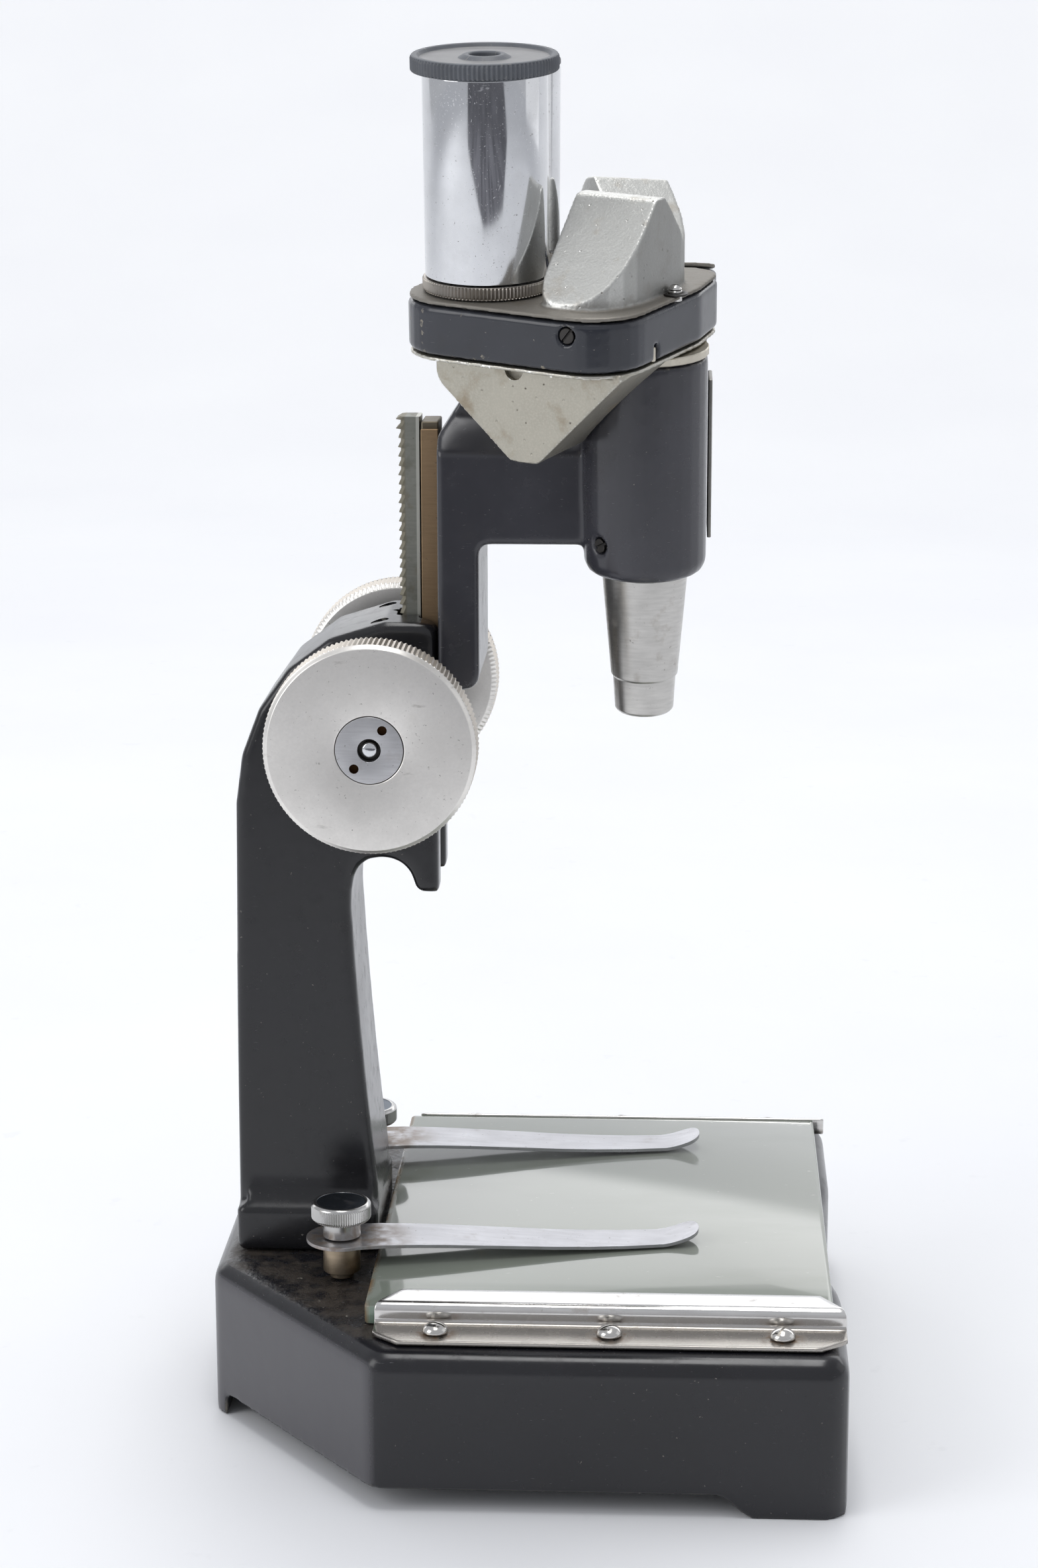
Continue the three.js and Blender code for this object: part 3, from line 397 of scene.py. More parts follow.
M = {
    "base": enamel_base(),
    # One black enamel on base, pillar, arm and box; its tones differ as painted light: the arm and box are
    # painted lighter as painted reflection of the bright studio, the pillar a little darker as painted
    # shade.
    "pillar": enamel("enamel_pillar", 21, 0.5, 0.2, (19, 19, 22)).done(),
    "arm": enamel("enamel_arm", 31, 0.8, 0.2, (46, 46, 51)).done(),
    "box": enamel("enamel_box", 41, 1.0, 0.16, (40, 42, 48)).done(),
    "cover_top": cast_silver("cast_silver_upper", 51, (202, 202, 198), 0.75, (11.75, 12.2)).done(),
    "cover_low": cast_silver("cast_silver_lower", 56, (176, 172, 160), 0.3).done(),
    "ring": metal("swivel_ring_cream", (206, 200, 186), 0.36, 58, None, 0.5).done(),
    "rack": rack_steel(),
    "slide": metal("slide_steel", (120, 112, 98), 0.42, 63, (6, 6, 0.6), 0.6).done(),
    "brass": metal("gib_brass", (158, 134, 106), 0.5, 64, (6, 6, 0.6), 0.6).done(),
    "glass": frosted_glass(),
    "optic": optic(),
    "cap": plastic("cap_rib_plastic", (80, 83, 88), 91).done(),
    # The cap's top face is the same plastic, painted lighter as painted light from above.
    "cap_top_painted_light": plastic("cap_face_plastic", (116, 116, 117), 93).done(),
    "knob": knob_metal("knob_aluminium", 101),
    "disc": metal("disc_nickel", (204, 204, 206), 0.34, 111, (5, 0.5, 0.5), 0.2).done(),
    "rust": metal("rusted_hole", (84, 60, 40), 0.7, 113, None, 0.9).done(),
    "chrome": tube_chrome(),
    "rail": rail_chrome(),
    "clip": clip_steel(),
    "thumb": metal("thumb_chrome", (196, 195, 193), 0.2, 151, None, 0.3).done(),
    "thumb_top": metal("thumb_blued_top", (92, 100, 110), 0.28, 153, (8, 0.5, 1), 0.3).done(),
    "post": metal("post_nickel", (176, 160, 138), 0.33, 155, (4, 4, 0.6), 0.6).done(),
    "knurl": metal("knurled_ring", (178, 172, 164), 0.32, 161, None, 0.5).done(),
    "cone": metal("cone_satin", (204, 202, 198), 0.28, 165, (4, 4, 0.5), 0.3).done(),
    "screw": metal("screw_nickel", (216, 214, 210), 0.14, 171, None, 0.35).done(),
    "dark": metal("screw_blackened", (74, 72, 70), 0.4, 175, None, 0.4).done(),
    "plate": metal("front_plate_satin", (160, 158, 152), 0.35, 181, (1, 6, 1), 0.2).done(),
}


# ---------------------------------------------------------------- mesh helpers
def finish_mesh(name, vertices, faces, matrix, angle=32):
    """New piece from points in millimetres, faces turned outwards and shaded smooth up to angle."""
    mesh = bpy.data.meshes.new(name)
    mesh.from_pydata([(matrix @ Vector(v)) * MM for v in vertices], [], faces)
    work = bmesh.new()
    work.from_mesh(mesh)
    bmesh.ops.recalc_face_normals(work, faces=work.faces)
    work.to_mesh(mesh)
    work.free()
    mesh.shade_smooth()
    mesh.set_sharp_from_angle(angle=math.radians(angle))
    piece = bpy.data.objects.new(name, mesh)
    bpy.context.scene.collection.objects.link(piece)
    return piece


def rounded(points, radius=0.3, steps=3, closed=False):
    """Outline with each corner replaced by a short curve."""
    result = []
    last = len(points) - 1
    for i, (x, y, *rest) in enumerate(points):
        if not closed and i in (0, last):
            result.append(points[i])
            continue
        here = Vector((x, y))
        before = Vector(points[i - 1][:2]) - here
        after = Vector(points[(i + 1) % len(points)][:2]) - here
        reach = min(radius, before.length * 0.45, after.length * 0.45)
        start = here + before.normalized() * reach
        end = here + after.normalized() * reach
        for step in range(steps + 1):
            t = step / steps
            p = start.lerp(here, t).lerp(here.lerp(end, t), t)
            result.append((p.x, p.y, *rest))
    return result


def lathe(name, profile, sides, matrix, teeth=0, depth=0.0, closed=False, angle=32):
    """Turned piece about local Z; a third value in a profile point scales the teeth there."""
    rings, vertices, faces = [], [], []
    for radius, height, *flag in profile:
        if radius < 1e-6:
            rings.append([len(vertices)])
            vertices.append((0, 0, height))
            continue
        rings.append(list(range(len(vertices), len(vertices) + sides)))
        for i in range(sides):
            turn = 2 * math.pi * i / sides
            reach = radius
            if flag:
                reach -= depth * flag[0] * (0.5 - 0.5 * math.cos(teeth * turn))
            vertices.append((reach * math.cos(turn), reach * math.sin(turn), height))
    for low, high in zip(rings, rings[1:] + (rings[:1] if closed else [])):
        for i in range(sides):
            j = (i + 1) % sides
            face = [low[i % len(low)], low[j % len(low)], high[j % len(high)], high[i % len(high)]]
            face = list(dict.fromkeys(face))
            if len(face) > 2:
                faces.append(face)
    return finish_mesh(name, vertices, faces, matrix, angle)


def put(piece, material, body, slot, *nodes, extra=()):
    """Material, body and the CAD nodes that the piece stands for; slot is not used."""
    piece.data.materials.clear()
    for item in (material, *extra):
        piece.data.materials.append(M[item])
    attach(piece, body)
    if nodes:
        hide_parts(*nodes)
    return piece


def dress(node, material):
    """The CAD node's own mesh with a better material."""
    item = NODES[node]
    if not item.material_slots:
        item.data.materials.append(None)
    for place in item.material_slots:
        place.link = "OBJECT"
        place.material = M[material]
    return item


def soften(item, voxel, passes):
    """Even mesh with its edges rounded, as a casting has them."""
    remesh = item.modifiers.new("even", "REMESH")
    remesh.mode = "VOXEL"
    remesh.voxel_size = voxel * MM
    remesh.use_smooth_shade = True
    smooth = item.modifiers.new("soften", "SMOOTH")
    smooth.factor = 0.5
    smooth.iterations = passes


def recast(node, material, body, slot, voxel, passes, *cuts):
    """Softened copy of a CAD node with small recesses cut into it."""
    piece = bpy.data.objects.new(node + "_casting", NODES[node].data.copy())
    bpy.context.scene.collection.objects.link(piece)
    soften(piece, voxel, passes)
    for vertices, faces in cuts:
        carve(piece, vertices, faces, 50)
    return put(piece, material, body, slot, node)


def softened(node, material, body, slot, width=0.15, angle=30):
    """Copy of a CAD node with flat faces joined and every sharp edge bevelled."""
    mesh = NODES[node].data.copy()
    work = bmesh.new()
    work.from_mesh(mesh)
    bmesh.ops.remove_doubles(work, verts=work.verts, dist=1e-6)
    bmesh.ops.dissolve_limit(work, angle_limit=math.radians(0.6), verts=work.verts, edges=work.edges)
    work.to_mesh(mesh)
    work.free()
    piece = bpy.data.objects.new(node + "_detail", mesh)
    bpy.context.scene.collection.objects.link(piece)
    bevel = piece.modifiers.new("edge", "BEVEL")
    bevel.width = width * MM
    bevel.segments = 2
    bevel.limit_method = "ANGLE"
    bevel.angle_limit = math.radians(angle)
    bevel.use_clamp_overlap = True
    mesh.shade_smooth()
    mesh.set_sharp_from_angle(angle=math.radians(34))
    return put(piece, material, body, slot, node)


def drum(matrix, radius, low, high, sides=24):
    """Closed cylinder about a local Z, as vertices and faces."""
    vertices = []
    for z in (low, high):
        vertices += [matrix @ Vector((radius * math.cos(2 * math.pi * k / sides),
                                      radius * math.sin(2 * math.pi * k / sides), z))
                     for k in range(sides)]
    walls = [(k, (k + 1) % sides, (k + 1) % sides + sides, k + sides) for k in range(sides)]
    return vertices, walls + [tuple(range(sides - 1, -1, -1)), tuple(range(sides, 2 * sides))]


def carve(piece, vertices, faces, angle=32):
    """Takes a closed shape, given in millimetres, out of a piece."""
    mesh = bpy.data.meshes.new("cutter")
    mesh.from_pydata([Vector(v) * MM for v in vertices], [], faces)
    tool = bpy.data.objects.new("cutter", mesh)
    bpy.context.scene.collection.objects.link(tool)
    modifier = piece.modifiers.new("carve", "BOOLEAN")
    modifier.operation = "DIFFERENCE"
    modifier.solver = "EXACT"
    modifier.object = tool
    graph = bpy.context.evaluated_depsgraph_get()
    result = bpy.data.meshes.new_from_object(piece.evaluated_get(graph))
    piece.modifiers.clear()
    piece.data = result
    result.set_sharp_from_angle(angle=math.radians(angle))
    bpy.data.objects.remove(tool)


def slot_cut(piece, matrix, length, width, top, depth):
    """Screwdriver slot across the head, in the screw's own frame."""
    corners = [matrix @ Vector((x, y, z)) for x in (-length, length) for y in (-width / 2, width / 2)
               for z in (top - depth, top + 1)]
    carve(piece, corners, CUBE)


def reach_of(node, matrix):
    """Lowest and highest point along a local axis and the largest radius about it."""
    back = matrix.inverted()
    points = [back @ (v.co / MM) for v in NODES[node].data.vertices]
    heights = [p.z for p in points]
    return min(heights), max(heights), max(math.hypot(p.x, p.y) for p in points)


def span_in(node, matrix, axis):
    """Lowest and highest value along one of a matrix's own axes."""
    back = matrix.inverted()
    values = [(back @ (v.co / MM))[axis] for v in NODES[node].data.vertices]
    return min(values), max(values)


def slotted(name, node, matrix, body, slot, material, dome=0.0, width=0.5, depth=0.6, spin=0.0):
    """Screw with a driver slot, as long and as wide as the CAD node it stands for."""
    low, high, radius = reach_of(node, matrix)
    shoulder = high - dome
    profile = [(0, low), (radius, low), (radius, shoulder - 0.12), (radius - 0.12, shoulder)]
    if dome:
        profile += [(radius * math.cos(t * math.pi / 12), shoulder + dome * math.sin(t * math.pi / 12))
                    for t in range(1, 6)]
    matrix = matrix @ Matrix.Rotation(spin, 4, "Z")
    screw = lathe(name, profile + [(0, high)], 48, matrix)
    slot_cut(screw, matrix, radius + 1, width, high, depth)
    return put(screw, material, body, slot, node)


def head_frame(sign):
    """Frame of one viewing head: its Z is the optical axis."""
    return Matrix.Translation((HEAD[0], sign * HEAD[1], HEAD[2])) @ Matrix.Rotation(-sign * LEAN, 4, "X")


# ---------------------------------------------------------------- castings
soften(dress("base_casting", "base"), 0.7, 5)
soften(dress("arm_casting", "arm"), 0.55, 6)
head_top = span("pillar", 2)[1]
rack_back = span("rack", 0)[0]
screw_seats = [Matrix.Translation((-30, y, head_top - 0.15)) @ Matrix.Rotation(-0.1, 4, "Y")
               for y in (-9.2, 9.2)]
wedge = [(x, y, z) for z in (head_top - 1.4, head_top + 1)
         for x, y in ((rack_back - 1.7, 1.2), (rack_back + 0.4, -1.2), (rack_back + 0.4, 3.2))]
wedge_faces = [(0, 2, 1), (3, 4, 5), (0, 1, 4, 3), (1, 2, 5, 4), (2, 0, 3, 5)]
gib_x, gib_y = span("gib_strip", 0), span("gib_strip", 1)
gib_way = [(x, y, z) for x in (gib_x[0] - 0.25, gib_x[1] + 2) for y in (gib_y[0] - 0.3, gib_y[1])
           for z in (100, head_top + 5)]
recast("pillar", "pillar", "stand", "black_enamel", 0.6, 6,
       *[drum(seat, 1.9, -1.1, 2) for seat in screw_seats], (wedge, wedge_faces), (gib_way, CUBE))
for i, seat in enumerate(screw_seats):
    profile = [(0, -1.3), (1.7, -1.3), (1.7, -0.75), (1.55, -0.6), (0, -0.6)]
    grub = lathe(f"head_grub_{i}", profile, 32, seat)
    slot_cut(grub, seat @ Matrix.Rotation(0.6 + i, 4, "Z"), 3, 0.45, -0.6, 0.45)
    put(grub, "dark", "stand", "dark_screw")
for tag, sign in SIDES:
    box_axes = head_frame(sign) @ Matrix.Rotation(sign * BOX_TURN, 4, "Z")
    soften(dress(f"prism_box_{tag}", "box"), 0.3, 14)
    soften(dress(f"upper_cover_{tag}", "cover_top"), 0.3, 7)
    notch = box_axes @ Matrix.Translation((11.3, sign * 9.6, -0.9)) @ Matrix.Rotation(math.pi / 2, 4, "X")
    recast(f"lower_cover_{tag}", "cover_low", f"head_{tag}", "cast_silver", 0.3, 7,
           drum(notch, 2.0, -0.9, 0.9))
    box_end = span_in(f"prism_box_{tag}", box_axes, 0)[1]
    pin_at = box_axes @ Matrix.Translation((box_end - 1.1, -sign * 1.8, 0))
    pin = rounded([(0, 0.9), (0.75, 0.9), (0.75, 3.7), (0, 3.9)], 0.4, 3)
    put(lathe(f"box_pin_{tag}", pin, 32, pin_at), "ring", f"head_{tag}", "dark_screw")

# ---------------------------------------------------------------- focusing gear
for tag, sign in SIDES:
    low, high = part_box(f"focus_knob_{tag}")
    x, _, z = middle(f"focus_knob_{tag}")
    inner = min(abs(low[1]), abs(high[1])) / MM
    width = abs(high[1] - low[1]) / MM
    radius = (high[0] - low[0]) / 2 / MM
    turn = Matrix.Translation((x, sign * inner, z)) @ Matrix.Rotation(-sign * math.pi / 2, 4, "X")
    rim = [(2.9, 0), (radius - 1.3, 0), (radius, 0.9, 1), (radius, 2, 1), (radius, width - 2, 1),
           (radius, width - 0.95, 1), (radius - 0.3, width - 0.75), (radius - 0.85, width - 0.12),
           (radius - 1.0, width)]
    face = [(6.95, width), (6.75, width - 0.2), (6.75, width - 2), (2.9, width - 2)]
    knob = lathe(f"knob_{tag}", rounded(rim + face, 0.15, 2, closed=True), 792, turn, 132, 0.34,
                 closed=True, angle=28)
    put(knob, "knob", "focus_shaft", "aluminium", f"focus_knob_{tag}")
    low, high, _ = reach_of(f"knob_disc_{tag}", turn)
    plate = rounded([(2.3, low), (6.65, low), (6.65, high), (2.3, high)], 0.12, 3, closed=True)
    disc = lathe(f"disc_{tag}", plate, 96, turn, closed=True)
    holes = [(HOLE_CIRCLE * math.cos(a), HOLE_CIRCLE * math.sin(a)) for a in HOLE_TURNS]
    for at in holes:
        carve(disc, *drum(turn @ Matrix.Translation((*at, 0)), HOLE_RADIUS, high - 1.3, high + 1, 16))
    put(disc, "disc", "focus_shaft", "nickel", f"knob_disc_{tag}", extra=("rust",))
    back = turn.inverted()
    for face in disc.data.polygons:
        at = back @ (face.center / MM)
        away = min(math.dist(at.xy, hole) for hole in holes)
        if away < HOLE_RADIUS + 0.1 and at.z < high - 0.02:
            face.material_index = 1
    _, tip, _ = reach_of("pinion_shaft", turn)
    bead_radius = 1.45
    ball = [(0, tip + 0.02), (bead_radius, tip + 0.02), (bead_radius, tip + 0.06)]
    ball += [(bead_radius * math.cos(t * math.pi / 14), tip + 0.06 + 0.45 * math.sin(t * math.pi / 14))
             for t in range(1, 7)]
    bead = lathe(f"shaft_end_{tag}", ball + [(0, tip + 0.51)], 48, turn)
    put(bead, "chrome", "focus_shaft", "nickel")
    dress(f"pinion_bush_{tag}", "screw")
dress("pinion_shaft", "dark")


def toothed_rack():
    """Steel rack: worn hooked teeth that run out in a chamfer, the top two nearly whole."""
    (back, front), (z0, z1) = span("rack", 0), span("rack", 2)
    half = span("rack", 1)[1]
    tip, root = back + 0.2, back + 0.75
    levels = [(z1, root - 0.1)]
    z = z1 - 0.5
    count = 0
    while z > z0 + RACK_PITCH:
        whole = 0.42 if count in (0, 1) else 0.06 * math.sin(count * 2.3)
        levels += [(z, tip - whole), (z - 0.12, tip - whole + 0.06), (z - 0.2, root),
                   (z - 0.75, root - 0.03), (z - 1.35, tip + 0.22)]
        z -= RACK_PITCH
        count += 1
    levels += [(z0, root)]
    columns = [(-half, 0.75), (0.75 - half, 0), (half - 0.75, 0), (half, 0.75)]
    wide = len(columns)
    vertices = []
    for z, x in levels:
        vertices += [(x + cut, y, z) for y, cut in columns]
        vertices += [(front - cut * 0.3, y, z) for y, cut in reversed(columns)]
    ring = 2 * wide
    faces = [(r * ring + k, r * ring + (k + 1) % ring,
              (r + 1) * ring + (k + 1) % ring, (r + 1) * ring + k)
             for r in range(len(levels) - 1) for k in range(ring)]
    faces += [tuple(range(ring)), tuple(range((len(levels) - 1) * ring, len(levels) * ring))]
    piece = finish_mesh("rack_detail", vertices, faces, Matrix.Identity(4), 20)
    put(piece, "rack", "carriage", "satin_steel", "rack")


toothed_rack()
softened("slide_bar", "slide", "carriage", "satin_steel", 0.3)
softened("gib_strip", "brass", "carriage", "worn_brass", 0.15)
softened("arm_front_plate", "plate", "carriage", "front_plate", 0.2)

# ---------------------------------------------------------------- stage
low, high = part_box("stage_glass")
corners = [(x / MM, y / MM, z / MM) for x in (low[0], high[0]) for y in (low[1], high[1])
           for z in (low[2], high[2])]
pane = finish_mesh("stage_pane", corners, CUBE, Matrix.Identity(4))
work = bmesh.new()
work.from_mesh(pane.data)
upright = [e for e in work.edges if abs(e.verts[0].co.z - e.verts[1].co.z) > MM]
bmesh.ops.bevel(work, geom=upright, offset=1.2 * MM, segments=5, profile=0.5, affect="EDGES")
rims = [e for e in work.edges if abs(e.verts[0].co.z - e.verts[1].co.z) < 1e-7
        and any(abs(f.normal.z) > 0.9 for f in e.link_faces)
        and any(abs(f.normal.z) < 0.1 for f in e.link_faces)]
bmesh.ops.bevel(work, geom=rims, offset=0.35 * MM, segments=3, profile=0.5, affect="EDGES")
work.to_mesh(pane.data)
work.free()
pane.data.set_sharp_from_angle(angle=math.radians(32))
put(pane, "glass", "glass", "stage_glass", "stage_glass")


def folded_rail(tag, sign):
    """Strip of sheet metal with rounded folds; its free edges are cut back at the ends."""
    node = f"stage_rail_{tag}"
    (back, front), (z0, z1) = span(node, 0), span(node, 2)
    outer = max(abs(v) for v in span(node, 1))
    inner = min(abs(v) for v in span(node, 1))
    low_line, high_line = z0 + SHEET / 2, z1 - SHEET / 2
    wall = inner + LIP - SHEET / 2 if tag == "a" else inner + SHEET / 2
    path = [(outer, low_line), (wall, low_line)]
    path += [(wall, high_line), (inner, high_line)] if tag == "a" else [(wall, z1)]
    path = rounded(path, 1.5, 6)
    fine = [path[0]]
    for end in path[1:]:
        steps = max(1, round(math.dist(fine[-1], end) / 1.2))
        start = fine[-1]
        fine += [tuple(s + (e - s) * (k + 1) / steps for s, e in zip(start, end)) for k in range(steps)]
    columns = 60
    vertices = []
    for d, z in fine:
        cut = LIP_CUT * max(0.0, (d - (outer - 4.4)) / 4.4)
        if z > high_line - 1.5 and tag == "a":
            cut = LIP_CUT * max(0.0, (wall - d) / LIP)
        vertices += [(back + cut + (front - back - 2 * cut) * k / columns, sign * d, z)
                     for k in range(columns + 1)]
    row = columns + 1
    faces = [(r * row + k, r * row + k + 1, (r + 1) * row + k + 1, (r + 1) * row + k)
             for r in range(len(fine) - 1) for k in range(columns)]
    piece = finish_mesh(f"rail_{tag}", vertices, faces, Matrix.Identity(4), 60)
    thick = piece.modifiers.new("sheet", "SOLIDIFY")
    thick.thickness = SHEET * MM
    thick.offset = 0
    thick.use_even_offset = True
    edge = piece.modifiers.new("edge", "BEVEL")
    edge.width = 0.22 * MM
    edge.segments = 3
    edge.limit_method = "ANGLE"
    edge.angle_limit = math.radians(50)
    put(piece, "rail", "stand", "chrome", node)


for tag, sign in SIDES:
    folded_rail(tag, sign)
    for i in (1, 2, 3):
        node = f"rail_screw_{tag}{i}"
        x, y, _ = middle(node)
        bottom, top = span(node, 2)
        seat = top - 1.8
        at = Matrix.Translation((x, y, 0)) @ Matrix.Rotation(0.7 * i + sign, 4, "Z")
        dome = [(2.5 * math.cos(t * math.pi / 16), seat + 0.25 + 1.55 * math.sin(t * math.pi / 16))
                for t in range(8)]
        profile = [(0, bottom), (0.9, bottom), (1.1, bottom + 0.3), (1.1, seat),
                   (2.4, seat), (2.5, seat + 0.12)]
        screw = lathe(f"screw_{tag}{i}", profile + dome + [(0, top)], 48, at)
        slot_cut(screw, at, 3, 0.55, top, 0.8)
        put(screw, "screw", "stand", "nickel", node)

    px, py, _ = middle(f"clip_post_{tag}")
    z0, z1 = span(f"clip_post_{tag}", 2)
    post = rounded([(0, z0), (2.5, z0), (2.5, z0 + 1.3), (3.8, z0 + 1.3), (3.8, z1), (1.7, z1),
                    (1.7, z1 - 6.2), (0, z1 - 6.2)], 0.3, 3)
    put(lathe(f"post_{tag}", post, 64, Matrix.Translation((px, py, 0))), "post", "stand", "chrome",
        f"clip_post_{tag}")

    z0, z1 = span(f"thumb_screw_{tag}", 2)
    head = z1 - THUMB_HEIGHT
    collar = head - 3.5
    wide, shoulder = THUMB_RADIUS, THUMB_RADIUS - 0.5
    outline = rounded([(0, z0), (1.3, z0), (1.3, collar), (3.9, collar), (3.9, head), (shoulder, head),
                       (wide, head + 0.5, 1), (wide, head + 1, 1), (wide, z1 - 1.1, 1), (wide, z1 - 0.6),
                       (shoulder, z1 - 0.1), (5.1, z1 - 0.1), (4.9, z1 - 0.25), (0, z1 - 0.15)], 0.22, 3)
    thumb = lathe(f"thumb_{tag}", outline, 456, Matrix.Translation((px, py, 0)), 76, 0.22, angle=28)
    put(thumb, "thumb", f"thumb_{tag}", "chrome", f"thumb_screw_{tag}", extra=("thumb_top",))
    for face in thumb.data.polygons:
        reach = math.hypot(face.center.x / MM - px, face.center.y / MM - py)
        if reach < 5.0 and face.center.z / MM > z1 - 0.5:
            face.material_index = 1
    softened(f"stage_clip_{tag}", "clip", f"clip_{tag}", "satin_steel", 0.16)

# ---------------------------------------------------------------- optics
for tag, sign in SIDES:
    head = head_frame(sign)
    aim = head @ Matrix.Translation((OBJECTIVE[0], -sign * OBJECTIVE[1], 0))
    cone = rounded([(4.6, -75.5), (5.3, -75.5), (5.9, -74.9), (6.3, -68), (6.7, -67.6), (8.6, -45.5),
                    (8.6, -41), (6.6, -41), (4.6, -67.5)], 0.3, 3, closed=True)
    put(lathe(f"cone_{tag}", cone, 96, aim, closed=True), "cone", "carriage", "satin_steel",
        f"objective_cone_{tag}")
    for part in ("objective_lens", "upper_prism", "lower_prism", "eye_lens"):
        dress(f"{part}_{tag}", "optic")
    box_frame = head @ Matrix.Rotation(sign * BOX_TURN, 4, "Z")
    flank = (aim @ Matrix.Translation((0, 0, -38.8)) @ Matrix.Rotation(sign * math.radians(48), 4, "Z")
             @ Matrix.Rotation(-sign * math.pi / 2, 4, "X"))
    slotted(f"barrel_grub_{tag}", f"barrel_screw_{tag}", flank, "carriage", "dark_screw", "dark",
            spin=0.5)
    face = (box_frame @ Matrix.Translation((25, sign * 12.6, 8))
            @ Matrix.Rotation(-sign * math.pi / 2, 4, "X"))
    slotted(f"side_grub_{tag}", f"side_screw_{tag}", face, f"head_{tag}", "dark_screw", "dark", spin=0.9)
    lid = box_frame @ Matrix.Translation((34.3, -sign * 12, 0))
    slotted(f"cover_dome_{tag}", f"cover_screw_{tag}", lid, f"head_{tag}", "dark_screw", "screw",
            1.1, 0.4, 0.5, 0.3)
    washer = rounded([(1.4, 11.65), (2.5, 11.65), (2.5, 12.0), (1.4, 12.0)], 0.12, 2, closed=True)
    put(lathe(f"cover_washer_{tag}", washer, 64, lid, closed=True), "dark", f"head_{tag}", "dark_screw")
    dress(f"swivel_ring_{tag}", "ring")

for tag, sign in SIDES:
    head = head_frame(sign)
    back = head.inverted()
    low, high, radius = reach_of(f"eyepiece_ring_{tag}", head)
    profile = rounded([(11, low), (radius - 0.3, low), (radius, low + 0.35, 1), (radius, low + 0.7, 1),
                       (radius, high - 0.7, 1), (radius, high - 0.35, 1), (radius - 0.3, high),
                       (11, high)], 0.12, 2, closed=True)
    ring = lathe(f"ring_{tag}", profile, 624, head, 104, 0.42, closed=True, angle=28)
    put(ring, "knurl", f"tube_{tag}", "satin_steel", f"eyepiece_ring_{tag}")
    low, high, radius = reach_of(f"eyepiece_tube_{tag}", head)
    profile = rounded([(11, low), (radius, low), (radius, high), (11, high)], 0.25, 3, closed=True)
    put(lathe(f"tube_{tag}", profile, 128, head, closed=True), "chrome", f"tube_{tag}", "chrome",
        f"eyepiece_tube_{tag}")
    low, high, radius = reach_of(f"eyepiece_cap_{tag}", head)
    shoulder = low + 24
    rim = [(9.2, low), (10.7, low), (10.7, shoulder), (radius - 0.3, shoulder)]
    if tag == "a":
        rim += [(radius, shoulder + 0.3, 1), (radius, shoulder + 0.6, 1), (radius, high - 0.9, 1),
                (radius, high - 0.5, 1), (radius - 0.35, high)]
    else:
        rim += [(radius, shoulder + 0.3), (radius, high - 0.35), (radius - 0.35, high)]
    rim += [(radius - 1.3, high), (radius - 1.9, high - 0.8), (5.2, high - 0.85), (4.6, high - 0.5),
            (3.9, high - 0.1), (3.1, high - 0.1), (2.9, high - 0.4), (2.9, shoulder + 0.8),
            (9.2, shoulder + 0.8)]
    rim = rounded(rim, 0.2, 3, closed=True)
    cap = lathe(f"cap_{tag}", rim, 588, head, 98, 0.26, closed=True, angle=28)
    put(cap, "cap", f"eyepiece_{tag}", "cap_plastic", f"eyepiece_cap_{tag}", extra=("cap_top_painted_light",))
    # Faces of the top get the lighter copy of the plastic: painted light from above.
    for face in cap.data.polygons:
        at = back @ (face.center / MM)
        if 4.9 < math.hypot(at.x, at.y) < radius - 1.7 and at.z > high - 1.2:
            face.material_index = 1


# ---------------------------------------------------------------- studio
def backdrop():
    """Pale sweep: a floor that curves up behind the object and glows in bands as painted light."""
    s = Surface("studio_paper", rgb(238, 239, 241), 0.75)
    s.layer(s.noise(160, 0.3, 0.7, 3, seed=201), rgb(234, 235, 238))
    s.layer(s.times(s.noise(9, 0.68, 0.74, 4, seed=202), 0.25), rgb(222, 223, 226))
    # Painted light: the paper glows, more strongly further back, in a strip high up behind the object and
    # in a patch on the left, standing in for lamps on the backdrop.
    s.plug(s.shader.inputs["Emission Color"], (1.0, 1.0, 1.0, 1.0))
    far = s.times(s.along(1, 300, 2600), 0.36)
    high = s.times(s.along(2, 1230, 1400), 1.4)
    left = s.times(s.along(2, 400, 520), s.along(2, 800, 680), s.along(0, -300, -500))
    s.plug(s.shader.inputs["Emission Strength"], s.math("ADD", s.math("ADD", far, high), left))
    material = s.done()
    path = rounded([(-2600, 0), (2600, 0), (3600, 2600)], 1500, 24)
    vertices = [(x, y, z) for y, z in path for x in (-4500, 4500)]
    faces = [(2 * i, 2 * i + 1, 2 * i + 3, 2 * i + 2) for i in range(len(path) - 1)]
    sweep = finish_mesh("sweep", vertices, faces, Matrix.Translation((0, 0, FLOOR)))
    sweep.data.materials.append(material)


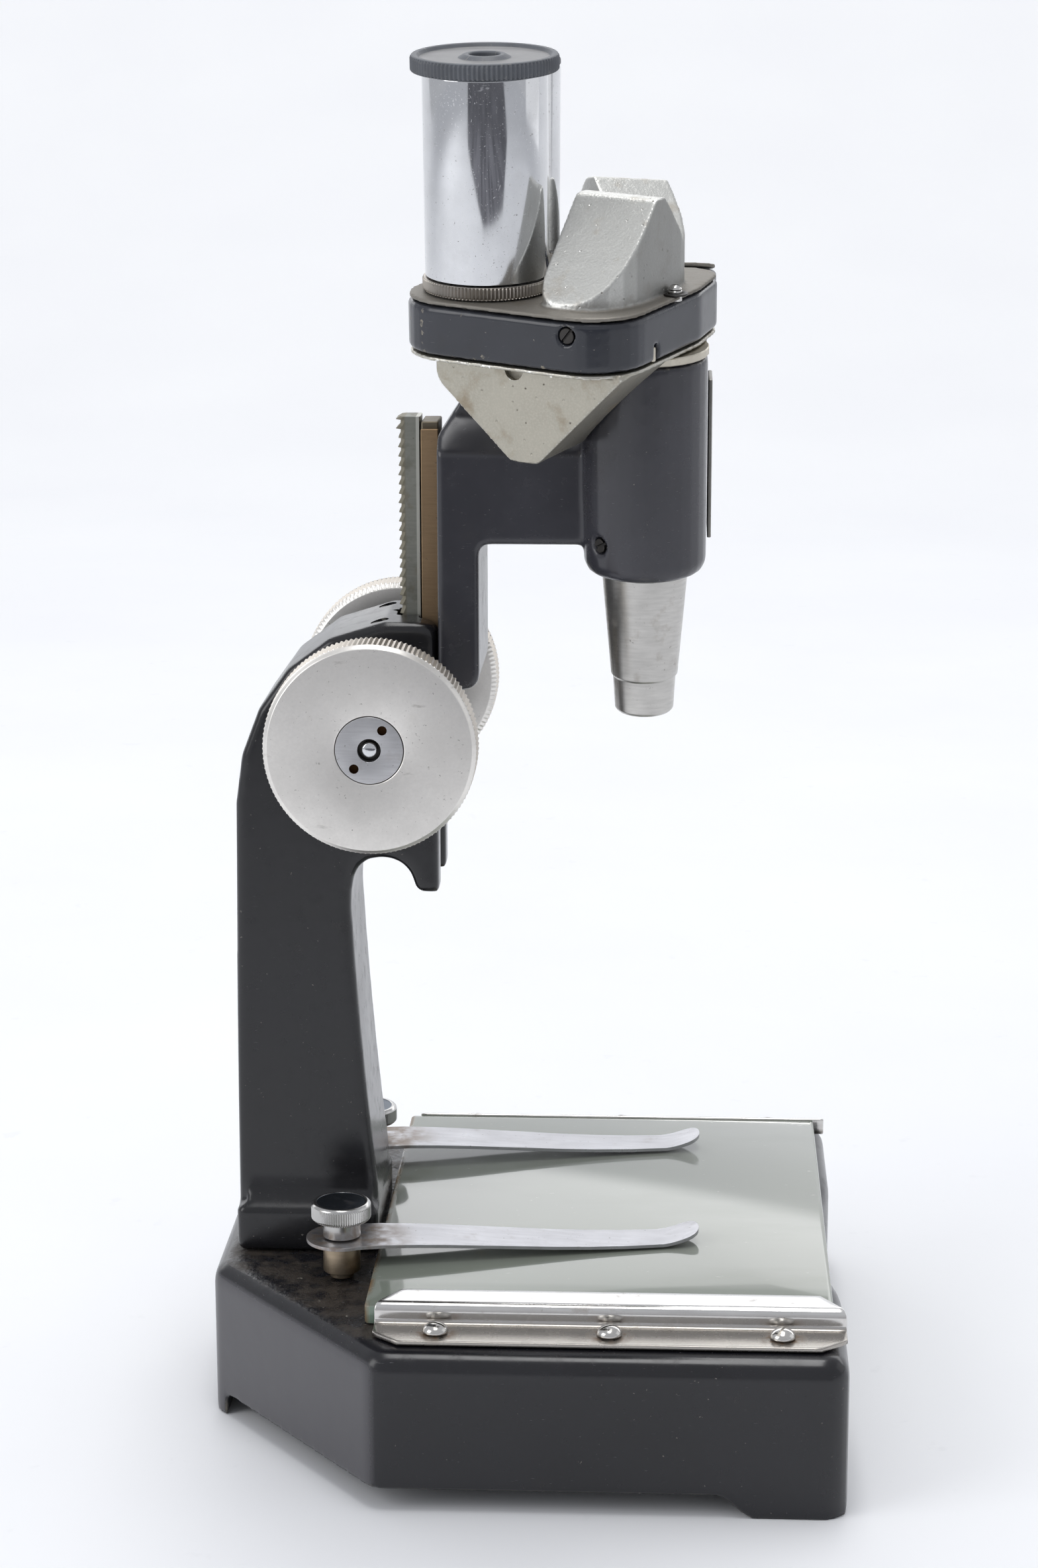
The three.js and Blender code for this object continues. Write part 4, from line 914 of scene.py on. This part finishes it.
def flag():
    """Dark card in front of the object that only reflections see, as the dark end of a studio."""
    s = Surface("flag_grey", rgb(86, 86, 92), 0.9)
    s.layer(s.noise(60, 0.45, 0.6, stretch=(1, 12, 1), seed=211), rgb(128, 128, 134))
    material = s.done()
    outline = ((-2400, -4800), (3400, -4800), (920, -1000), (370, -570), (-30, -570), (-560, -1000))
    corners = [(x, y, 4) for x, y in outline]
    card = finish_mesh("flag", corners, [(0, 1, 2, 3, 4, 5)], Matrix.Translation((0, 0, FLOOR)))
    card.data.materials.append(material)
    card.visible_camera = False
    card.visible_diffuse = False
    card.visible_shadow = False
    card.visible_transmission = False


def softbox(name, place, aim, size, power):
    """Rectangular lamp; place, aim and size in metres, power in watts."""
    data = bpy.data.lights.new(name, "AREA")
    data.shape = "RECTANGLE"
    data.size, data.size_y = size
    data.energy = power
    lamp = bpy.data.objects.new(name, data)
    lamp.location = place
    lamp.rotation_euler = (Vector(aim) - Vector(place)).to_track_quat("-Z", "Y").to_euler()
    bpy.context.scene.collection.objects.link(lamp)


backdrop()
flag()
softbox("overhead", (0.02, 0.15, 1.35), (0.02, 0.15, 0.1), (0.4, 1.2), 8.5)
softbox("right", (1.25, 0.2, 0.6), (0.0, 0.0, 0.15), (0.9, 1.0), 1)
softbox("left", (-1.2, -0.7, 0.8), (0.0, 0.0, 0.15), (0.8, 1.1), 7)

world = bpy.data.worlds.new("studio")
bpy.context.scene.world = world
world.use_nodes = True
sky = world.node_tree.nodes["Background"]
sky.inputs["Color"].default_value = SKY
sky.inputs["Strength"].default_value = SKY_STRENGTH
bpy.context.scene.view_settings.view_transform = "Standard"

camera_data = bpy.data.cameras.new("camera")
camera_data.sensor_fit = "VERTICAL"
camera_data.sensor_height = CAMERA_SENSOR
camera_data.lens = CAMERA_LENS
camera_data.clip_end = 20
camera = bpy.data.objects.new("camera", camera_data)
camera.matrix_world = (Matrix.Translation(Vector(CAMERA_PLACE) * MM)
                       @ Matrix.Rotation(math.radians(CAMERA_TURN), 4, "Z")
                       @ Matrix.Rotation(math.radians(90 - CAMERA_DROP), 4, "X")
                       @ Matrix.Rotation(math.radians(CAMERA_ROLL), 4, "Z"))
bpy.context.scene.collection.objects.link(camera)
bpy.context.scene.camera = camera
